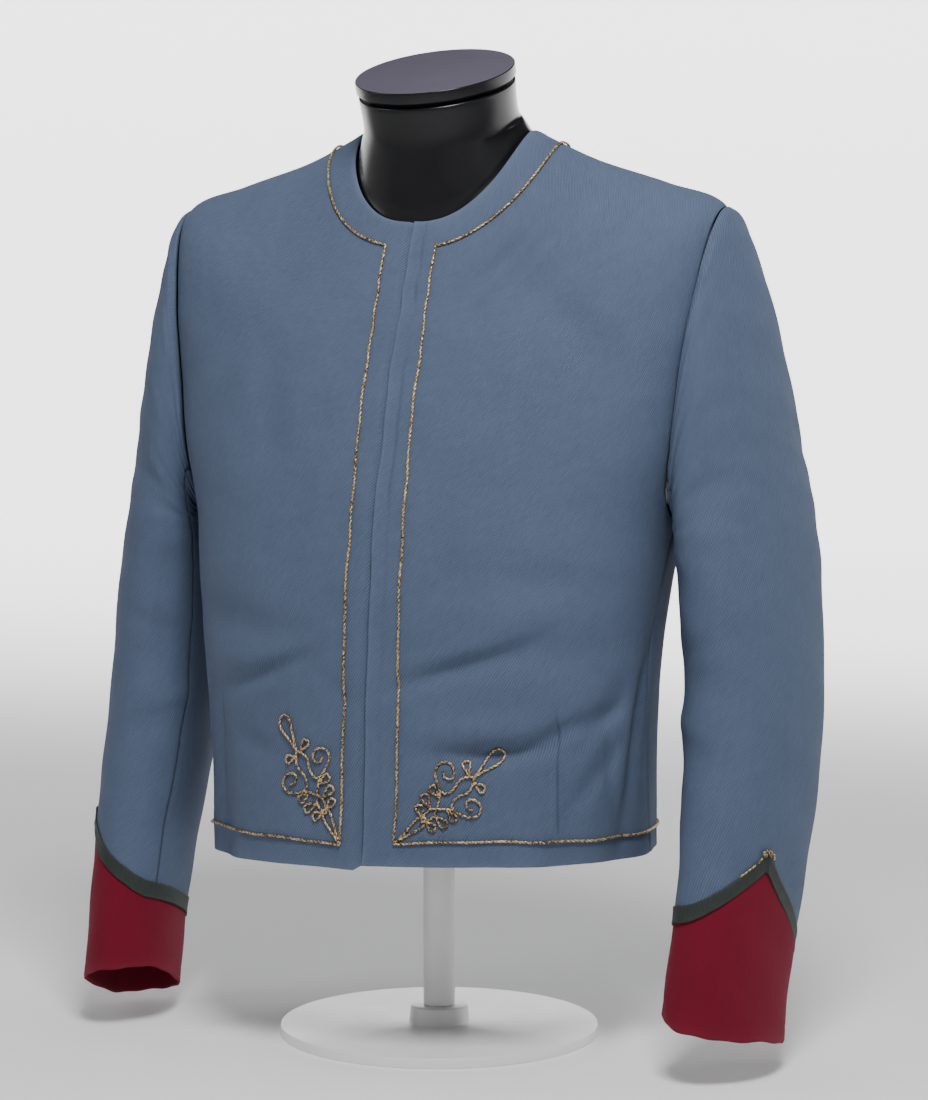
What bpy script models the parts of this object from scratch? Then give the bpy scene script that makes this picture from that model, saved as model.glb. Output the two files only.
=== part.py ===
"""A waist-length uniform jacket of grey-blue wool twill, worn on a limbless black dress form.

Metres, +Z up. The origin is at the centre of the stand's underside, the wearer faces -Y,
and the wearer's left is +X. Heights in the tables count from the hem.
"""

from math import asin, cos, pi, radians, sin

import bmesh
import bpy
import numpy as np

HEM_HEIGHT = 0.165
CLOTH = 0.002
SEAM_GAP = 0.0003
FRONT_EDGE_X = 0.001
LAP = 0.013
LAP_DEPTH = 0.0029
# The lower front starts to sink this far before the upper front's edge, and sinks over this length.
LAP_START = 0.016
LAP_RUN = 0.013
FRONT_COLUMNS = 9
BACK_COLUMNS = 20

RIBBON_WIDTH = 0.012
RIBBON_THICKNESS = 0.0008
CUFF_PEAK = 0.133
CUFF_LOW = 0.066
CUFF_CURVE = 1.5
CUFF_PEAK_ANGLE = radians(5)

# Rows of the body from hem to neck: heights at front, side and back, half width,
# y at front, side and back, and how square the front and back halves are.
BODY_ROWS = (
    (-0.008, -0.015, -0.016, 0.1765, -0.147, -0.006, 0.112, 2.15, 2.30),
    (0.045, 0.036, 0.040, 0.1770, -0.142, -0.010, 0.107, 2.20, 2.35),
    (0.103, 0.092, 0.097, 0.1790, -0.139, -0.015, 0.101, 2.25, 2.40),
    (0.160, 0.146, 0.152, 0.1830, -0.136, -0.017, 0.102, 2.30, 2.45),
    (0.212, 0.198, 0.207, 0.1890, -0.130, -0.012, 0.112, 2.35, 2.45),
    (0.255, 0.246, 0.262, 0.1960, -0.123, 0.000, 0.124, 2.35, 2.45),
    (0.292, 0.302, 0.315, 0.2110, -0.114, 0.009, 0.133, 2.35, 2.45),
    (0.328, 0.362, 0.366, 0.2190, -0.104, 0.015, 0.137, 2.35, 2.40),
    (0.361, 0.428, 0.412, 0.2290, -0.093, 0.020, 0.134, 2.20, 2.20),
    (0.388, 0.482, 0.447, 0.2250, -0.083, 0.024, 0.124, 2.08, 2.05),
    (0.409, 0.501, 0.472, 0.1770, -0.0735, 0.026, 0.116, 2.14, 2.08),
    (0.432, 0.519, 0.499, 0.1200, -0.0645, 0.025, 0.107, 2.30, 2.12),
    (0.471, 0.542, 0.530, 0.0700, -0.050, 0.021, 0.088, 2.45, 2.10),
)
NECK_ROW = len(BODY_ROWS) - 1
UNDERARM = 5
SHOULDER_TIP = 9

# How the heights run between front, side and back.
HEIGHT_POWER = 1.6
# The hem rises to the wearer's left by this slope, and less in each row above.
HEM_SLOPE = 0.035

# The braid: its rows, its distance from the front edge, its column in that front's grid, and its section.
HEM_BRAID = 0.43
NECK_BRAID = 11.52
BRAID_FROM_EDGE = {"left": 0.0235, "right": 0.020}
BRAID_COLUMN = {"left": 1, "right": 4}
BRAID_WIDTH = 0.0022
BRAID_HEIGHT = 0.0016
BRAID_TOP_SHARE = 0.6
MITRE_LIMIT = 0.5

# The armhole's distance from the middle at each height.
ARMHOLE = (
    (0.246, 0.1960), (0.270, 0.1980), (0.300, 0.2030), (0.360, 0.2090), (0.430, 0.2190), (0.482, 0.2250),
)

# Soft folds of the body: side (-1 front, 1 back), x, height, half length, half width, slope, depth.
BODY_FOLDS = (
    (-1, 0.110, 0.150, 0.070, 0.016, 4, 0.0050),
    (-1, 0.125, 0.205, 0.060, 0.015, -6, 0.0035),
    (-1, -0.110, 0.165, 0.060, 0.016, -6, 0.0040),
    (-1, 0.130, 0.400, 0.080, 0.017, -38, 0.0045),
    (-1, -0.130, 0.395, 0.070, 0.017, 40, 0.0040),
    (1, 0.060, 0.150, 0.090, 0.018, 5, 0.0045),
    (1, -0.080, 0.190, 0.080, 0.018, -5, 0.0045),
)

# Rings of the sleeve cap: inner x, y and height, outer x, y and height, half depth, toe-in in degrees,
# and the share of its own shape.
CAP_RINGS = (
    (0.2030, 0.001, 0.2445, 0.2345, 0.028, 0.4790, 0.066, 4, 0.30),
    (0.2045, 0.005, 0.2425, 0.2440, 0.028, 0.4600, 0.067, 6, 0.55),
    (0.2060, 0.010, 0.2400, 0.2505, 0.027, 0.4280, 0.069, 8, 0.75),
    (0.2070, 0.015, 0.2370, 0.2565, 0.025, 0.3890, 0.071, 10, 0.92),
    (0.2077, 0.020, 0.2335, 0.2620, 0.022, 0.3500, 0.073, 12, 1.00),
    (0.2080, 0.025, 0.2295, 0.2670, 0.020, 0.3130, 0.075, 13, 1.00),
    (0.2078, 0.029, 0.2250, 0.2730, 0.020, 0.2790, 0.076, 14, 1.00),
    (0.2068, 0.032, 0.2190, 0.2795, 0.020, 0.2420, 0.077, 14, 1.00),
)
# Rings of the arm: x, y and height of the middle, half width, half depth, tilt and toe-in in degrees.
ARM_RINGS = (
    (0.2470, 0.0275, 0.190, 0.0405, 0.0765, 0, 14),
    (0.2500, 0.0240, 0.120, 0.0430, 0.0730, 6, 14),
    (0.2520, 0.0100, 0.050, 0.0420, 0.0690, 13, 14),
    (0.2535, -0.0100, -0.015, 0.0380, 0.0650, 18, 13),
    (0.2515, -0.0280, -0.070, 0.0355, 0.0630, 20, 13),
    (0.2490, -0.0460, -0.132, 0.0345, 0.0625, 20, 13),
)
LAST_RING = len(CAP_RINGS) + len(ARM_RINGS)
SLEEVE_COLUMNS = 24
OVAL_POWER = 2.2
SLEEVE_ROWS = (0, 1, 2, 3, 4, 5, 6, 7, 8, 9, 9.5, 10, 10.5, 11)
CUFF_ROWS = 3
FRONT_SEAM_COLUMN = 9
HIND_SEAM_COLUMN = 16

# Soft creases of the sleeves: ring, angle from the outer side in degrees, half widths of both, depth.
SLEEVE_FOLDS = (
    (10.0, 110, 0.35, 45, 0.0040),
    (10.9, 100, 0.30, 50, 0.0035),
    (6.5, 70, 0.80, 30, 0.0030),
    (9.2, -80, 0.40, 40, 0.0030),
)

# The form: its rows, and how far it lies inside the cloth there.
FORM_EASES = (
    (2, 0.012), (3, 0.010), (4, 0.009), (5, 0.008), (6, 0.008), (7, 0.008), (8, 0.007), (8.5, 0.005),
    (9, 0.0045), (9.5, 0.0030), (10, 0.0013), (10.5, 0.0013), (11, 0.0013), (11.5, 0.0013), (12, 0.0013),
)
FORM_BOTTOM = 0.045
FORM_BOTTOM_ROW = 1.1
FORM_SIDES = 32
ARMHOLE_CLEARANCE = 0.010
LAP_SPREAD = 0.4
NECK_FOOT = (0.0077, 0.542)
NECK_LEAN = radians(19)
# Rings of the neck: how far up it and their radii, the last two being the groove under the cap.
NECK_RINGS = ((0.004, 0.061), (0.014, 0.060), (0.033, 0.061), (0.0345, 0.057), (0.038, 0.057))
# Between the shoulders and the neck's first ring: the share of the way, and how far it is lifted.
NECK_BEND = (0.55, 0.002)
CAP_RADIUS = 0.0622
CAP_HEIGHT = 0.009
CAP_BEVEL = 0.001

POLE_RADIUS = 0.0125
FLANGE_RADIUS = 0.045
FLANGE_HEIGHT = 0.006
BASE_RADIUS = 0.125
BASE_HEIGHT = 0.008
BOSS_RADIUS = 0.024
BOSS_HEIGHT = 0.014
STAND_BEVEL = 0.002
ROUND_SIDES = 32

WOOL = ("grey-blue wool", (0.130, 0.178, 0.255), 0.9, 0.0)
CRIMSON = ("crimson wool", (0.150, 0.010, 0.022), 0.9, 0.0)
RIBBON = ("dark green ribbon", (0.030, 0.040, 0.036), 0.7, 0.0)
GOLD = ("gold braid", (0.450, 0.330, 0.170), 0.4, 0.8)
BLACK = ("black gloss plastic", (0.012, 0.012, 0.013), 0.2, 0.0)
GREY = ("grey neck cap", (0.210, 0.200, 0.240), 0.6, 0.0)
WHITE = ("white painted steel", (0.800, 0.800, 0.800), 0.4, 0.0)


def clear_scene():
    for obj in list(bpy.data.objects):
        bpy.data.objects.remove(obj)


def material(look):
    name, colour, roughness, metallic = look
    made = bpy.data.materials.get(name) or bpy.data.materials.new(name)
    made.use_nodes = True
    shader = made.node_tree.nodes["Principled BSDF"]
    shader.inputs["Base Color"].default_value = (*colour, 1)
    shader.inputs["Roughness"].default_value = roughness
    shader.inputs["Metallic"].default_value = metallic
    return made


def blend(rows, place):
    """The smooth curve through these rows, at a place counted in rows."""
    rows = np.asarray(rows, float)
    last = len(rows) - 1
    place = np.clip(np.asarray(place, float), 0, last)
    k = np.minimum(place.astype(int), last - 1)
    f = (place - k).reshape(place.shape + (1,) * (rows.ndim - 1))
    here, after = rows[k], rows[k + 1]
    first = (k == 0).reshape(f.shape)
    final = (k == last - 1).reshape(f.shape)
    leaving = np.where(first, after - here, (after - rows[np.maximum(k - 1, 0)]) / 2)
    arriving = np.where(final, after - here, (rows[np.minimum(k + 2, last)] - here) / 2)
    return (
        (2 * f**3 - 3 * f**2 + 1) * here
        + (f**3 - 2 * f**2 + f) * leaving
        + (3 * f**2 - 2 * f**3) * after
        + (f**3 - f**2) * arriving
    )


def smooth_step(value):
    value = np.clip(value, 0, 1)
    return value * value * (3 - 2 * value)


def fold_depths(x, height, front):
    """How far the soft folds push the cloth in, at these places of the front or the back."""
    depth = np.zeros(np.shape(x))
    for side, fold_x, fold_height, length, width, slope, deep in BODY_FOLDS:
        c, s = cos(radians(slope)), sin(radians(slope))
        along = (x - fold_x) * c + (height - fold_height) * s
        across = (height - fold_height) * c - (x - fold_x) * s
        trough = deep * np.exp(-((along / length) ** 2) - (across / width) ** 2)
        depth += np.where(front == (side < 0), trough, 0)
    return depth


def body_points(angle, place):
    """The body's outer surface: angle 0 at the centre front, pi/2 at the wearer's left, pi at the back."""
    angle, place = np.broadcast_arrays(np.asarray(angle, float), np.asarray(place, float))
    row = np.moveaxis(blend(BODY_ROWS, place), -1, 0)
    z_front, z_side, z_back, half_width, y_front, y_side, y_back, front_power, back_power = row
    front = np.cos(angle) >= 0
    power = 2 / np.where(front, front_power, back_power)
    forward = np.abs(np.cos(angle)) ** power
    x = half_width * np.sign(np.sin(angle)) * np.abs(np.sin(angle)) ** power
    y = y_side + (np.where(front, y_front, y_back) - y_side) * forward
    height = z_side + (np.where(front, z_front, z_back) - z_side) * forward**HEIGHT_POWER
    height = height + HEM_SLOPE * x * np.exp(-place)
    depth = fold_depths(x, height, front) * smooth_step(2 * forward)
    y = y + np.where(front, depth, -depth)
    return np.stack([x, y, height + HEM_HEIGHT], -1)


def body_normals(angle, place):
    step = 0.01
    around = body_points(angle + step, place) - body_points(angle - step, place)
    higher = np.minimum(np.asarray(place, float) + step, NECK_ROW)
    lower = np.maximum(np.asarray(place, float) - step, 0)
    upward = body_points(angle, higher) - body_points(angle, lower)
    return unit(np.cross(around, upward))


def unit(vectors):
    return vectors / np.linalg.norm(vectors, axis=-1, keepdims=True)


def armhole_x(height):
    heights, distances = zip(*ARMHOLE)
    return np.interp(height, heights, distances)


def side_angle(place, front):
    """Where this row of the front or back half ends: at the side seam, the armhole or the shoulder seam."""
    if not UNDERARM < place < SHOULDER_TIP:
        return pi / 2
    inner = 0.2 if front else pi - 0.2
    outer = pi / 2
    for _ in range(40):
        middle = (inner + outer) / 2
        x, _, z = body_points(middle, place)
        if x < armhole_x(z - HEM_HEIGHT):
            inner = middle
        else:
            outer = middle
    return outer


def angle_at_x(x, place):
    """The angle at which a row of the front crosses this x, close to the middle."""
    row = blend(BODY_ROWS, place)
    return float(np.sign(x)) * asin((abs(x) / row[3]) ** (row[7] / 2))


def armhole_rows():
    """Rows from the underarm to the shoulder tip, closer together at both ends."""
    count = SLEEVE_COLUMNS // 2
    share = [(1 - cos(pi * k / count)) / 2 for k in range(count + 1)]
    return [UNDERARM + (SHOULDER_TIP - UNDERARM) * s for s in share]


def panel_rows():
    low = [0, HEM_BRAID, 0.8, 1.2, 1.6, 2, 2.4, 2.8, 3.2, 3.6, 4, 4.5]
    high = [9.6, 10.3, 11, NECK_BRAID, NECK_ROW]
    return low + armhole_rows() + high


def angles_along(start, end, place, first_steps, count):
    """Angles from start to end of one row: the first steps as lengths, then count even ones."""
    fine = np.linspace(start, end, 121)
    points = body_points(fine, place)
    steps = np.linalg.norm(np.diff(points, axis=0), axis=1)
    length = np.concatenate(([0], np.cumsum(steps)))
    reached = list(np.cumsum([0, *first_steps]))
    evenly = np.linspace(reached[-1], length[-1], count + 1)[1:]
    return np.interp(np.concatenate((reached, evenly)), length, fine)


def panel(rows_of_angles):
    """Points and outward normals of a panel, one row of angles for each panel row."""
    places = np.array(panel_rows())[:, None]
    angles = np.array(rows_of_angles)
    return body_points(angles, places), body_normals(angles, places)


def front_left_panel():
    rows = []
    for place in panel_rows():
        start = angle_at_x(FRONT_EDGE_X, place)
        steps = [BRAID_FROM_EDGE["left"]]
        rows.append(angles_along(start, side_angle(place, True), place, steps, FRONT_COLUMNS))
    return panel(rows)


def front_right_panel():
    """The lower front: its hidden edge first, sunk by the lap, with columns where it comes up again."""
    rows = []
    rising = [LAP, LAP_START / 4, LAP_START / 2]
    steps = rising + [LAP + BRAID_FROM_EDGE["right"] - sum(rising)]
    for place in panel_rows():
        start = angle_at_x(FRONT_EDGE_X + LAP, place)
        rows.append(angles_along(start, -side_angle(place, True), place, steps, FRONT_COLUMNS))
    points, normals = panel(rows)
    sunk = smooth_step((points[..., 0] - FRONT_EDGE_X + LAP_START) / LAP_RUN)
    return points - normals * (sunk * LAP_DEPTH)[..., None], normals


def back_panel():
    rows = []
    for place in panel_rows():
        end = side_angle(place, False)
        rows.append(angles_along(end, 2 * pi - end, place, [], BACK_COLUMNS))
    return panel(rows)


def sheet(name, points, normals, look, outer=0.0, inner=-CLOTH, tube=False):
    """A closed sheet of cloth: the grid moved out and in along its normals, and joined round its edges."""
    bm = bmesh.new()
    rows, columns = points.shape[:2]
    skins = []
    for offset in (outer, inner):
        moved = points + normals * offset
        skins.append([[bm.verts.new(tuple(moved[r, c])) for c in range(columns)] for r in range(rows)])
    spans = columns if tube else columns - 1
    for r in range(rows - 1):
        for c in range(spans):
            d = (c + 1) % columns
            for skin in skins:
                bm.faces.new((skin[r][c], skin[r][d], skin[r + 1][d], skin[r + 1][c]))
    for r in (0, rows - 1):
        for c in range(spans):
            d = (c + 1) % columns
            bm.faces.new((skins[0][r][c], skins[0][r][d], skins[1][r][d], skins[1][r][c]))
    if not tube:
        for c in (0, columns - 1):
            for r in range(rows - 1):
                bm.faces.new((skins[0][r][c], skins[0][r + 1][c], skins[1][r + 1][c], skins[1][r][c]))
    return finish(name, bm, look)


def lofted(name, rings, look):
    """A solid through these rings of points, closed flat at both ends."""
    bm = bmesh.new()
    loops = [[bm.verts.new(tuple(point)) for point in ring] for ring in rings]
    for below, above in zip(loops, loops[1:]):
        for c in range(len(below)):
            d = (c + 1) % len(below)
            bm.faces.new((below[c], below[d], above[d], above[c]))
    bm.faces.new(loops[0])
    bm.faces.new(loops[-1])
    return finish(name, bm, look)


def finish(name, bm, look):
    bmesh.ops.recalc_face_normals(bm, faces=bm.faces)
    mesh = bpy.data.meshes.new(name)
    bm.to_mesh(mesh)
    bm.free()
    mesh.shade_smooth()
    mesh.set_sharp_from_angle(angle=radians(40))
    mesh.materials.append(material(look))
    obj = bpy.data.objects.new(name, mesh)
    bpy.context.collection.objects.link(obj)
    return obj


def inset(points, start=0.0, end=0.0, first=0.0, last=0.0):
    """Moves the grid's edges in: start and end are its outer columns, first and last its outer rows."""
    moved = points.copy()
    for column, beside, amount in ((0, 1, start), (-1, -2, end)):
        moved[:, column] += unit(points[:, beside] - points[:, column]) * amount
    for row, beside, amount in ((0, 1, first), (-1, -2, last)):
        moved[row] += unit(points[beside] - points[row]) * amount
    return moved


def armhole_ring(side):
    """The armhole's points: down its front from the shoulder tip to the underarm, then up its back."""
    rows = armhole_rows()
    down = [body_points(side * side_angle(place, True), place) for place in reversed(rows)]
    up = [body_points(side * side_angle(place, False), place) for place in rows[1:-1]]
    return np.array(down + up)


def oval(angles):
    c, s = np.cos(angles), np.sin(angles)
    power = 2 / OVAL_POWER
    return (np.sign(c) * np.abs(c) ** power)[:, None], (np.sign(s) * np.abs(s) ** power)[:, None]


def sleeve_rings(side):
    """All rings of one sleeve, from the armhole to the end of the cuff."""
    angles = np.arange(SLEEVE_COLUMNS) * 2 * pi / SLEEVE_COLUMNS
    outward, forward = oval(angles)
    armhole = armhole_ring(side)
    rings = [armhole]
    for inner_x, inner_y, inner_z, outer_x, outer_y, outer_z, half_depth, toe, share in CAP_RINGS:
        inner = np.array([side * inner_x, inner_y, inner_z + HEM_HEIGHT])
        outer = np.array([side * outer_x, outer_y, outer_z + HEM_HEIGHT])
        ahead = np.array([-side * sin(radians(toe)), -cos(radians(toe)), 0])
        own = (inner + outer) / 2 + outward * (outer - inner) / 2 + forward * ahead * half_depth
        rings.append(armhole * (1 - share) + own * share)
    for x, y, z, half_width, half_depth, tilt, toe in ARM_RINGS:
        tilt, toe = radians(tilt), radians(toe)
        across = np.array([side * cos(toe), -sin(toe), 0])
        ahead = np.array([-side * sin(toe) * cos(tilt), -cos(toe) * cos(tilt), sin(tilt)])
        middle = np.array([side * x, y, z + HEM_HEIGHT])
        rings.append(middle + outward * across * half_width + forward * ahead * half_depth)
    return np.array(rings)


def cuff_places(rings):
    """Where the cuff's pointed edge crosses each column, counted in rings."""
    middles = rings.mean(axis=1)
    steps = np.linalg.norm(np.diff(middles, axis=0), axis=1)
    reach = np.concatenate(([0], np.cumsum(steps)))
    angles = np.arange(SLEEVE_COLUMNS) * 2 * pi / SLEEVE_COLUMNS - CUFF_PEAK_ANGLE
    from_peak = np.abs((angles + pi) % (2 * pi) - pi) / pi
    height = CUFF_LOW + (CUFF_PEAK - CUFF_LOW) * (1 - from_peak) ** CUFF_CURVE
    return np.interp(reach[-1] - height, reach, np.arange(len(reach)))


def rings_at(rings, places):
    """Points of the sleeve where each column has a place of its own."""
    columns = np.arange(SLEEVE_COLUMNS)
    return blend(rings, places)[columns, columns]


def sleeve_grid(side):
    """Points and outward normals of the whole sleeve: its rows down to the cuff's edge, then the cuff's."""
    rings = sleeve_rings(side)
    edge = cuff_places(rings)
    even = np.ones(SLEEVE_COLUMNS)
    places = [even * place for place in SLEEVE_ROWS]
    places += [(places[-1] + edge) / 2, edge]
    places += [edge + (LAST_RING - edge) * k / CUFF_ROWS for k in range(1, CUFF_ROWS + 1)]
    points = np.array([rings_at(rings, place) for place in places])
    normals = grid_normals(points, side)
    angles = np.arange(SLEEVE_COLUMNS) * 360 / SLEEVE_COLUMNS
    for ring, middle, tall, wide, depth in SLEEVE_FOLDS:
        turn = (angles - middle + 180) % 360 - 180
        trough = np.exp(-(((np.array(places) - ring) / tall) ** 2) - (turn / wide) ** 2)
        points = points - normals * (depth * trough)[..., None]
    return points, grid_normals(points, side)


def grid_normals(points, side):
    """Outward normals of a tube's grid, whose columns run forward from the outer side."""
    around = np.roll(points, -1, axis=1) - np.roll(points, 1, axis=1)
    along = np.gradient(points, axis=0)
    return unit(np.cross(around, along)) * side


def make_sleeve(side_name, side):
    points, normals = sleeve_grid(side)
    cuff_row = len(SLEEVE_ROWS) + 1
    half = SEAM_GAP / 2
    under = list(range(FRONT_SEAM_COLUMN, HIND_SEAM_COLUMN + 1))
    upper = [c % SLEEVE_COLUMNS for c in range(HIND_SEAM_COLUMN, FRONT_SEAM_COLUMN + SLEEVE_COLUMNS + 1)]
    for name, columns in (("upper_sleeve", upper), ("under_sleeve", under)):
        piece = inset(points[: cuff_row + 1, columns], half, half, SEAM_GAP, half)
        sheet(f"{name}_{side_name}", piece, normals[: cuff_row + 1, columns], WOOL)
    cuff = inset(points[cuff_row:], first=half)
    sheet(f"cuff_{side_name}", cuff, normals[cuff_row:], CRIMSON, tube=True)
    edge = points[cuff_row]
    above = edge + unit(points[cuff_row - 1] - edge) * RIBBON_WIDTH / 2
    below = edge + unit(points[cuff_row + 1] - edge) * RIBBON_WIDTH / 2
    band = np.array([above, edge, below])
    band_normals = np.array([normals[cuff_row]] * 3)
    lift = SEAM_GAP + RIBBON_THICKNESS
    sheet(f"ribbon_{side_name}", band, band_normals, RIBBON, lift, SEAM_GAP, tube=True)


def make_braid(side_name, front, back):
    """One cord from the back neck round to the front, down it, and along the hem to the centre back."""
    rows = panel_rows()
    hem, neck = rows.index(HEM_BRAID), rows.index(NECK_BRAID)
    column = BRAID_COLUMN[side_name]
    middle_back = BACK_COLUMNS // 2
    path = []
    for grid_front, grid_back in zip(front, back):
        neck_back = [grid_back[neck, c] for c in range(middle_back, 0, -1)]
        neck_front = [grid_front[neck, c] for c in range(grid_front.shape[1] - 1, column - 1, -1)]
        down = [grid_front[r, column] for r in range(neck - 1, hem, -1)]
        hem_front = [grid_front[hem, c] for c in range(column, grid_front.shape[1])]
        hem_back = [grid_back[hem, c] for c in range(1, middle_back + 1)]
        path.append(np.array(neck_back + neck_front + down + hem_front + hem_back))
    points, normals = path
    for end, beside in ((0, 1), (-1, -2)):
        points[end] += unit(points[beside] - points[end]) * SEAM_GAP
    before = np.vstack((points[1:2] - points[:1], np.diff(points, axis=0)))
    after = np.vstack((np.diff(points, axis=0), points[-1:] - points[-2:-1]))
    side_before = unit(np.cross(normals, before))
    side_after = unit(np.cross(normals, after))
    middle = unit(side_before + side_after)
    widen = 1 / np.maximum((middle * side_after).sum(axis=1, keepdims=True), MITRE_LIMIT)
    across = middle * widen * BRAID_WIDTH / 2
    low, high = normals * SEAM_GAP, normals * (SEAM_GAP + BRAID_HEIGHT)
    top = across * BRAID_TOP_SHARE
    corners = (-across + low, across + low, top + high, -top + high)
    lofted(f"braid_{side_name}", np.stack([points + corner for corner in corners], axis=1), GOLD)


def make_body():
    half = SEAM_GAP / 2
    front_left, front_right, back = front_left_panel(), front_right_panel(), back_panel()
    sheet("front_left", inset(front_left[0], end=half), front_left[1], WOOL)
    sheet("front_right", inset(front_right[0], end=half), front_right[1], WOOL)
    sheet("back", inset(back[0], start=half, end=half), back[1], WOOL)
    mirrored_back = (back[0][:, ::-1], back[1][:, ::-1])
    make_braid("left", front_left, back)
    make_braid("right", front_right, mirrored_back)


def circle(radius, y, z, lean=0.0, count=ROUND_SIDES):
    angles = np.arange(count) * 2 * pi / count
    x = radius * np.sin(angles)
    forward = -radius * np.cos(angles)
    return np.stack([x, y + forward * cos(lean), z + forward * sin(lean)], -1)


def neck_ring(radius, up):
    """A ring round the leaning neck, this far up it."""
    y = NECK_FOOT[0] - up * sin(NECK_LEAN)
    z = NECK_FOOT[1] + up * cos(NECK_LEAN) + HEM_HEIGHT
    return circle(radius, y, z, NECK_LEAN, FORM_SIDES)


def form_ring(place, ease, floor=None):
    """A ring of the form, inside the jacket by its cloth and this ease, and cut flat at the armholes."""
    angles = np.arange(FORM_SIDES) * 2 * pi / FORM_SIDES
    from_front = np.minimum(angles, 2 * pi - angles)
    inward = CLOTH + ease + LAP_DEPTH * np.exp(-((from_front / LAP_SPREAD) ** 2))
    ring = body_points(angles, place) - body_normals(angles, place) * inward[:, None]
    limit = armhole_x(ring[:, 2] - HEM_HEIGHT) - ARMHOLE_CLEARANCE
    ring[:, 0] = np.clip(ring[:, 0], -limit, limit)
    if floor is not None:
        ring[:, 2] = floor
    return ring


def make_form():
    """The torso from its flat bottom to the groove in its neck, and the cap on the neck."""
    rings = [form_ring(FORM_BOTTOM_ROW, FORM_EASES[0][1], HEM_HEIGHT + FORM_BOTTOM)]
    rings += [form_ring(place, ease) for place, ease in FORM_EASES]
    neck = [neck_ring(radius, up) for up, radius in NECK_RINGS]
    share, lift = NECK_BEND
    rings.append(rings[-1] * (1 - share) + neck[0] * share + np.array([0, 0, lift]))
    lofted("form_torso", rings + neck, BLACK)
    under = NECK_RINGS[-1][0] + SEAM_GAP
    top = under + CAP_HEIGHT
    cap = [neck_ring(CAP_RADIUS - CAP_BEVEL, under), neck_ring(CAP_RADIUS, under + CAP_BEVEL)]
    cap += [neck_ring(CAP_RADIUS, top - CAP_BEVEL), neck_ring(CAP_RADIUS - CAP_BEVEL, top)]
    lofted("neck_cap", cap, GREY)


def make_stand():
    top = HEM_HEIGHT + FORM_BOTTOM - SEAM_GAP
    boss = BASE_HEIGHT + BOSS_HEIGHT
    flange = top - FLANGE_HEIGHT
    pole = ((POLE_RADIUS, boss + SEAM_GAP), (POLE_RADIUS, flange))
    pole += ((FLANGE_RADIUS, flange), (FLANGE_RADIUS, top))
    base = (
        (BASE_RADIUS, 0), (BASE_RADIUS, BASE_HEIGHT - STAND_BEVEL), (BASE_RADIUS - STAND_BEVEL, BASE_HEIGHT),
        (BOSS_RADIUS, BASE_HEIGHT), (BOSS_RADIUS - STAND_BEVEL, boss),
    )
    lofted("stand_pole", [circle(radius, 0, z) for radius, z in pole], WHITE)
    lofted("stand_base", [circle(radius, 0, z) for radius, z in base], WHITE)


def main():
    clear_scene()
    make_body()
    make_sleeve("left", 1)
    make_sleeve("right", -1)
    make_form()
    make_stand()


main()
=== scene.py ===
from math import cos, pi, radians, sin

import bpy
import numpy as np
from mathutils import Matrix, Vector


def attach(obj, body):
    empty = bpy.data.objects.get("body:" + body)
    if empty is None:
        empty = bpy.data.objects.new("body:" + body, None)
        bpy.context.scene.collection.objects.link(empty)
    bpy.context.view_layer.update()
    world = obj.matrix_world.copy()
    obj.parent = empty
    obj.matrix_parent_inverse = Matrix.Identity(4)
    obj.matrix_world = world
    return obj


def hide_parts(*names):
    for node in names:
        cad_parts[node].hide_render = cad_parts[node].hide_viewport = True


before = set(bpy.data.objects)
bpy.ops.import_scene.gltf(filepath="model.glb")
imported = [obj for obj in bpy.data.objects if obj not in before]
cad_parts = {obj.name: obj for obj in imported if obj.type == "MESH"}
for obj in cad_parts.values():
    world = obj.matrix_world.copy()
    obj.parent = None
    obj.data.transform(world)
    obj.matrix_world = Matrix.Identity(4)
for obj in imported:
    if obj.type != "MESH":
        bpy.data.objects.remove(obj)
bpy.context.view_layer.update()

hemHeight = 0.165
cloth = 0.002
seamGap = 0.0003
rowLength, neckRowLength = 0.058, 0.046  # cloth per row near the hem and near the neck

# The body's rows from hem to neck, as in the CAD: heights at front, side and back, half width,
# y at front, side and back, and how square the front and back halves are.
bodyRows = (
    (-0.008, -0.015, -0.016, 0.1765, -0.147, -0.006, 0.112, 2.15, 2.30),
    (0.045, 0.036, 0.040, 0.1770, -0.142, -0.010, 0.107, 2.20, 2.35),
    (0.103, 0.092, 0.097, 0.1790, -0.139, -0.015, 0.101, 2.25, 2.40),
    (0.160, 0.146, 0.152, 0.1830, -0.136, -0.017, 0.102, 2.30, 2.45),
    (0.212, 0.198, 0.207, 0.1890, -0.130, -0.012, 0.112, 2.35, 2.45),
    (0.255, 0.246, 0.262, 0.1960, -0.123, 0.000, 0.124, 2.35, 2.45),
    (0.292, 0.302, 0.315, 0.2110, -0.114, 0.009, 0.133, 2.35, 2.45),
    (0.328, 0.362, 0.366, 0.2190, -0.104, 0.015, 0.137, 2.35, 2.40),
    (0.361, 0.428, 0.412, 0.2290, -0.093, 0.020, 0.134, 2.20, 2.20),
    (0.388, 0.482, 0.447, 0.2250, -0.083, 0.024, 0.124, 2.08, 2.05),
    (0.409, 0.501, 0.472, 0.1770, -0.0735, 0.026, 0.116, 2.14, 2.08),
    (0.432, 0.519, 0.499, 0.1200, -0.0645, 0.025, 0.107, 2.30, 2.12),
    (0.471, 0.542, 0.530, 0.0700, -0.050, 0.021, 0.088, 2.45, 2.10),
)
underarm, shoulderTip, neckRow = 5, 9, 12
hemBraid, neckBraid = 0.43, 11.52
heightPower = 1.6
hemSlope = 0.035
armhole = ((0.246, 0.1960), (0.270, 0.1980), (0.300, 0.2030), (0.360, 0.2090), (0.430, 0.2190), (0.482, 0.2250))

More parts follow.
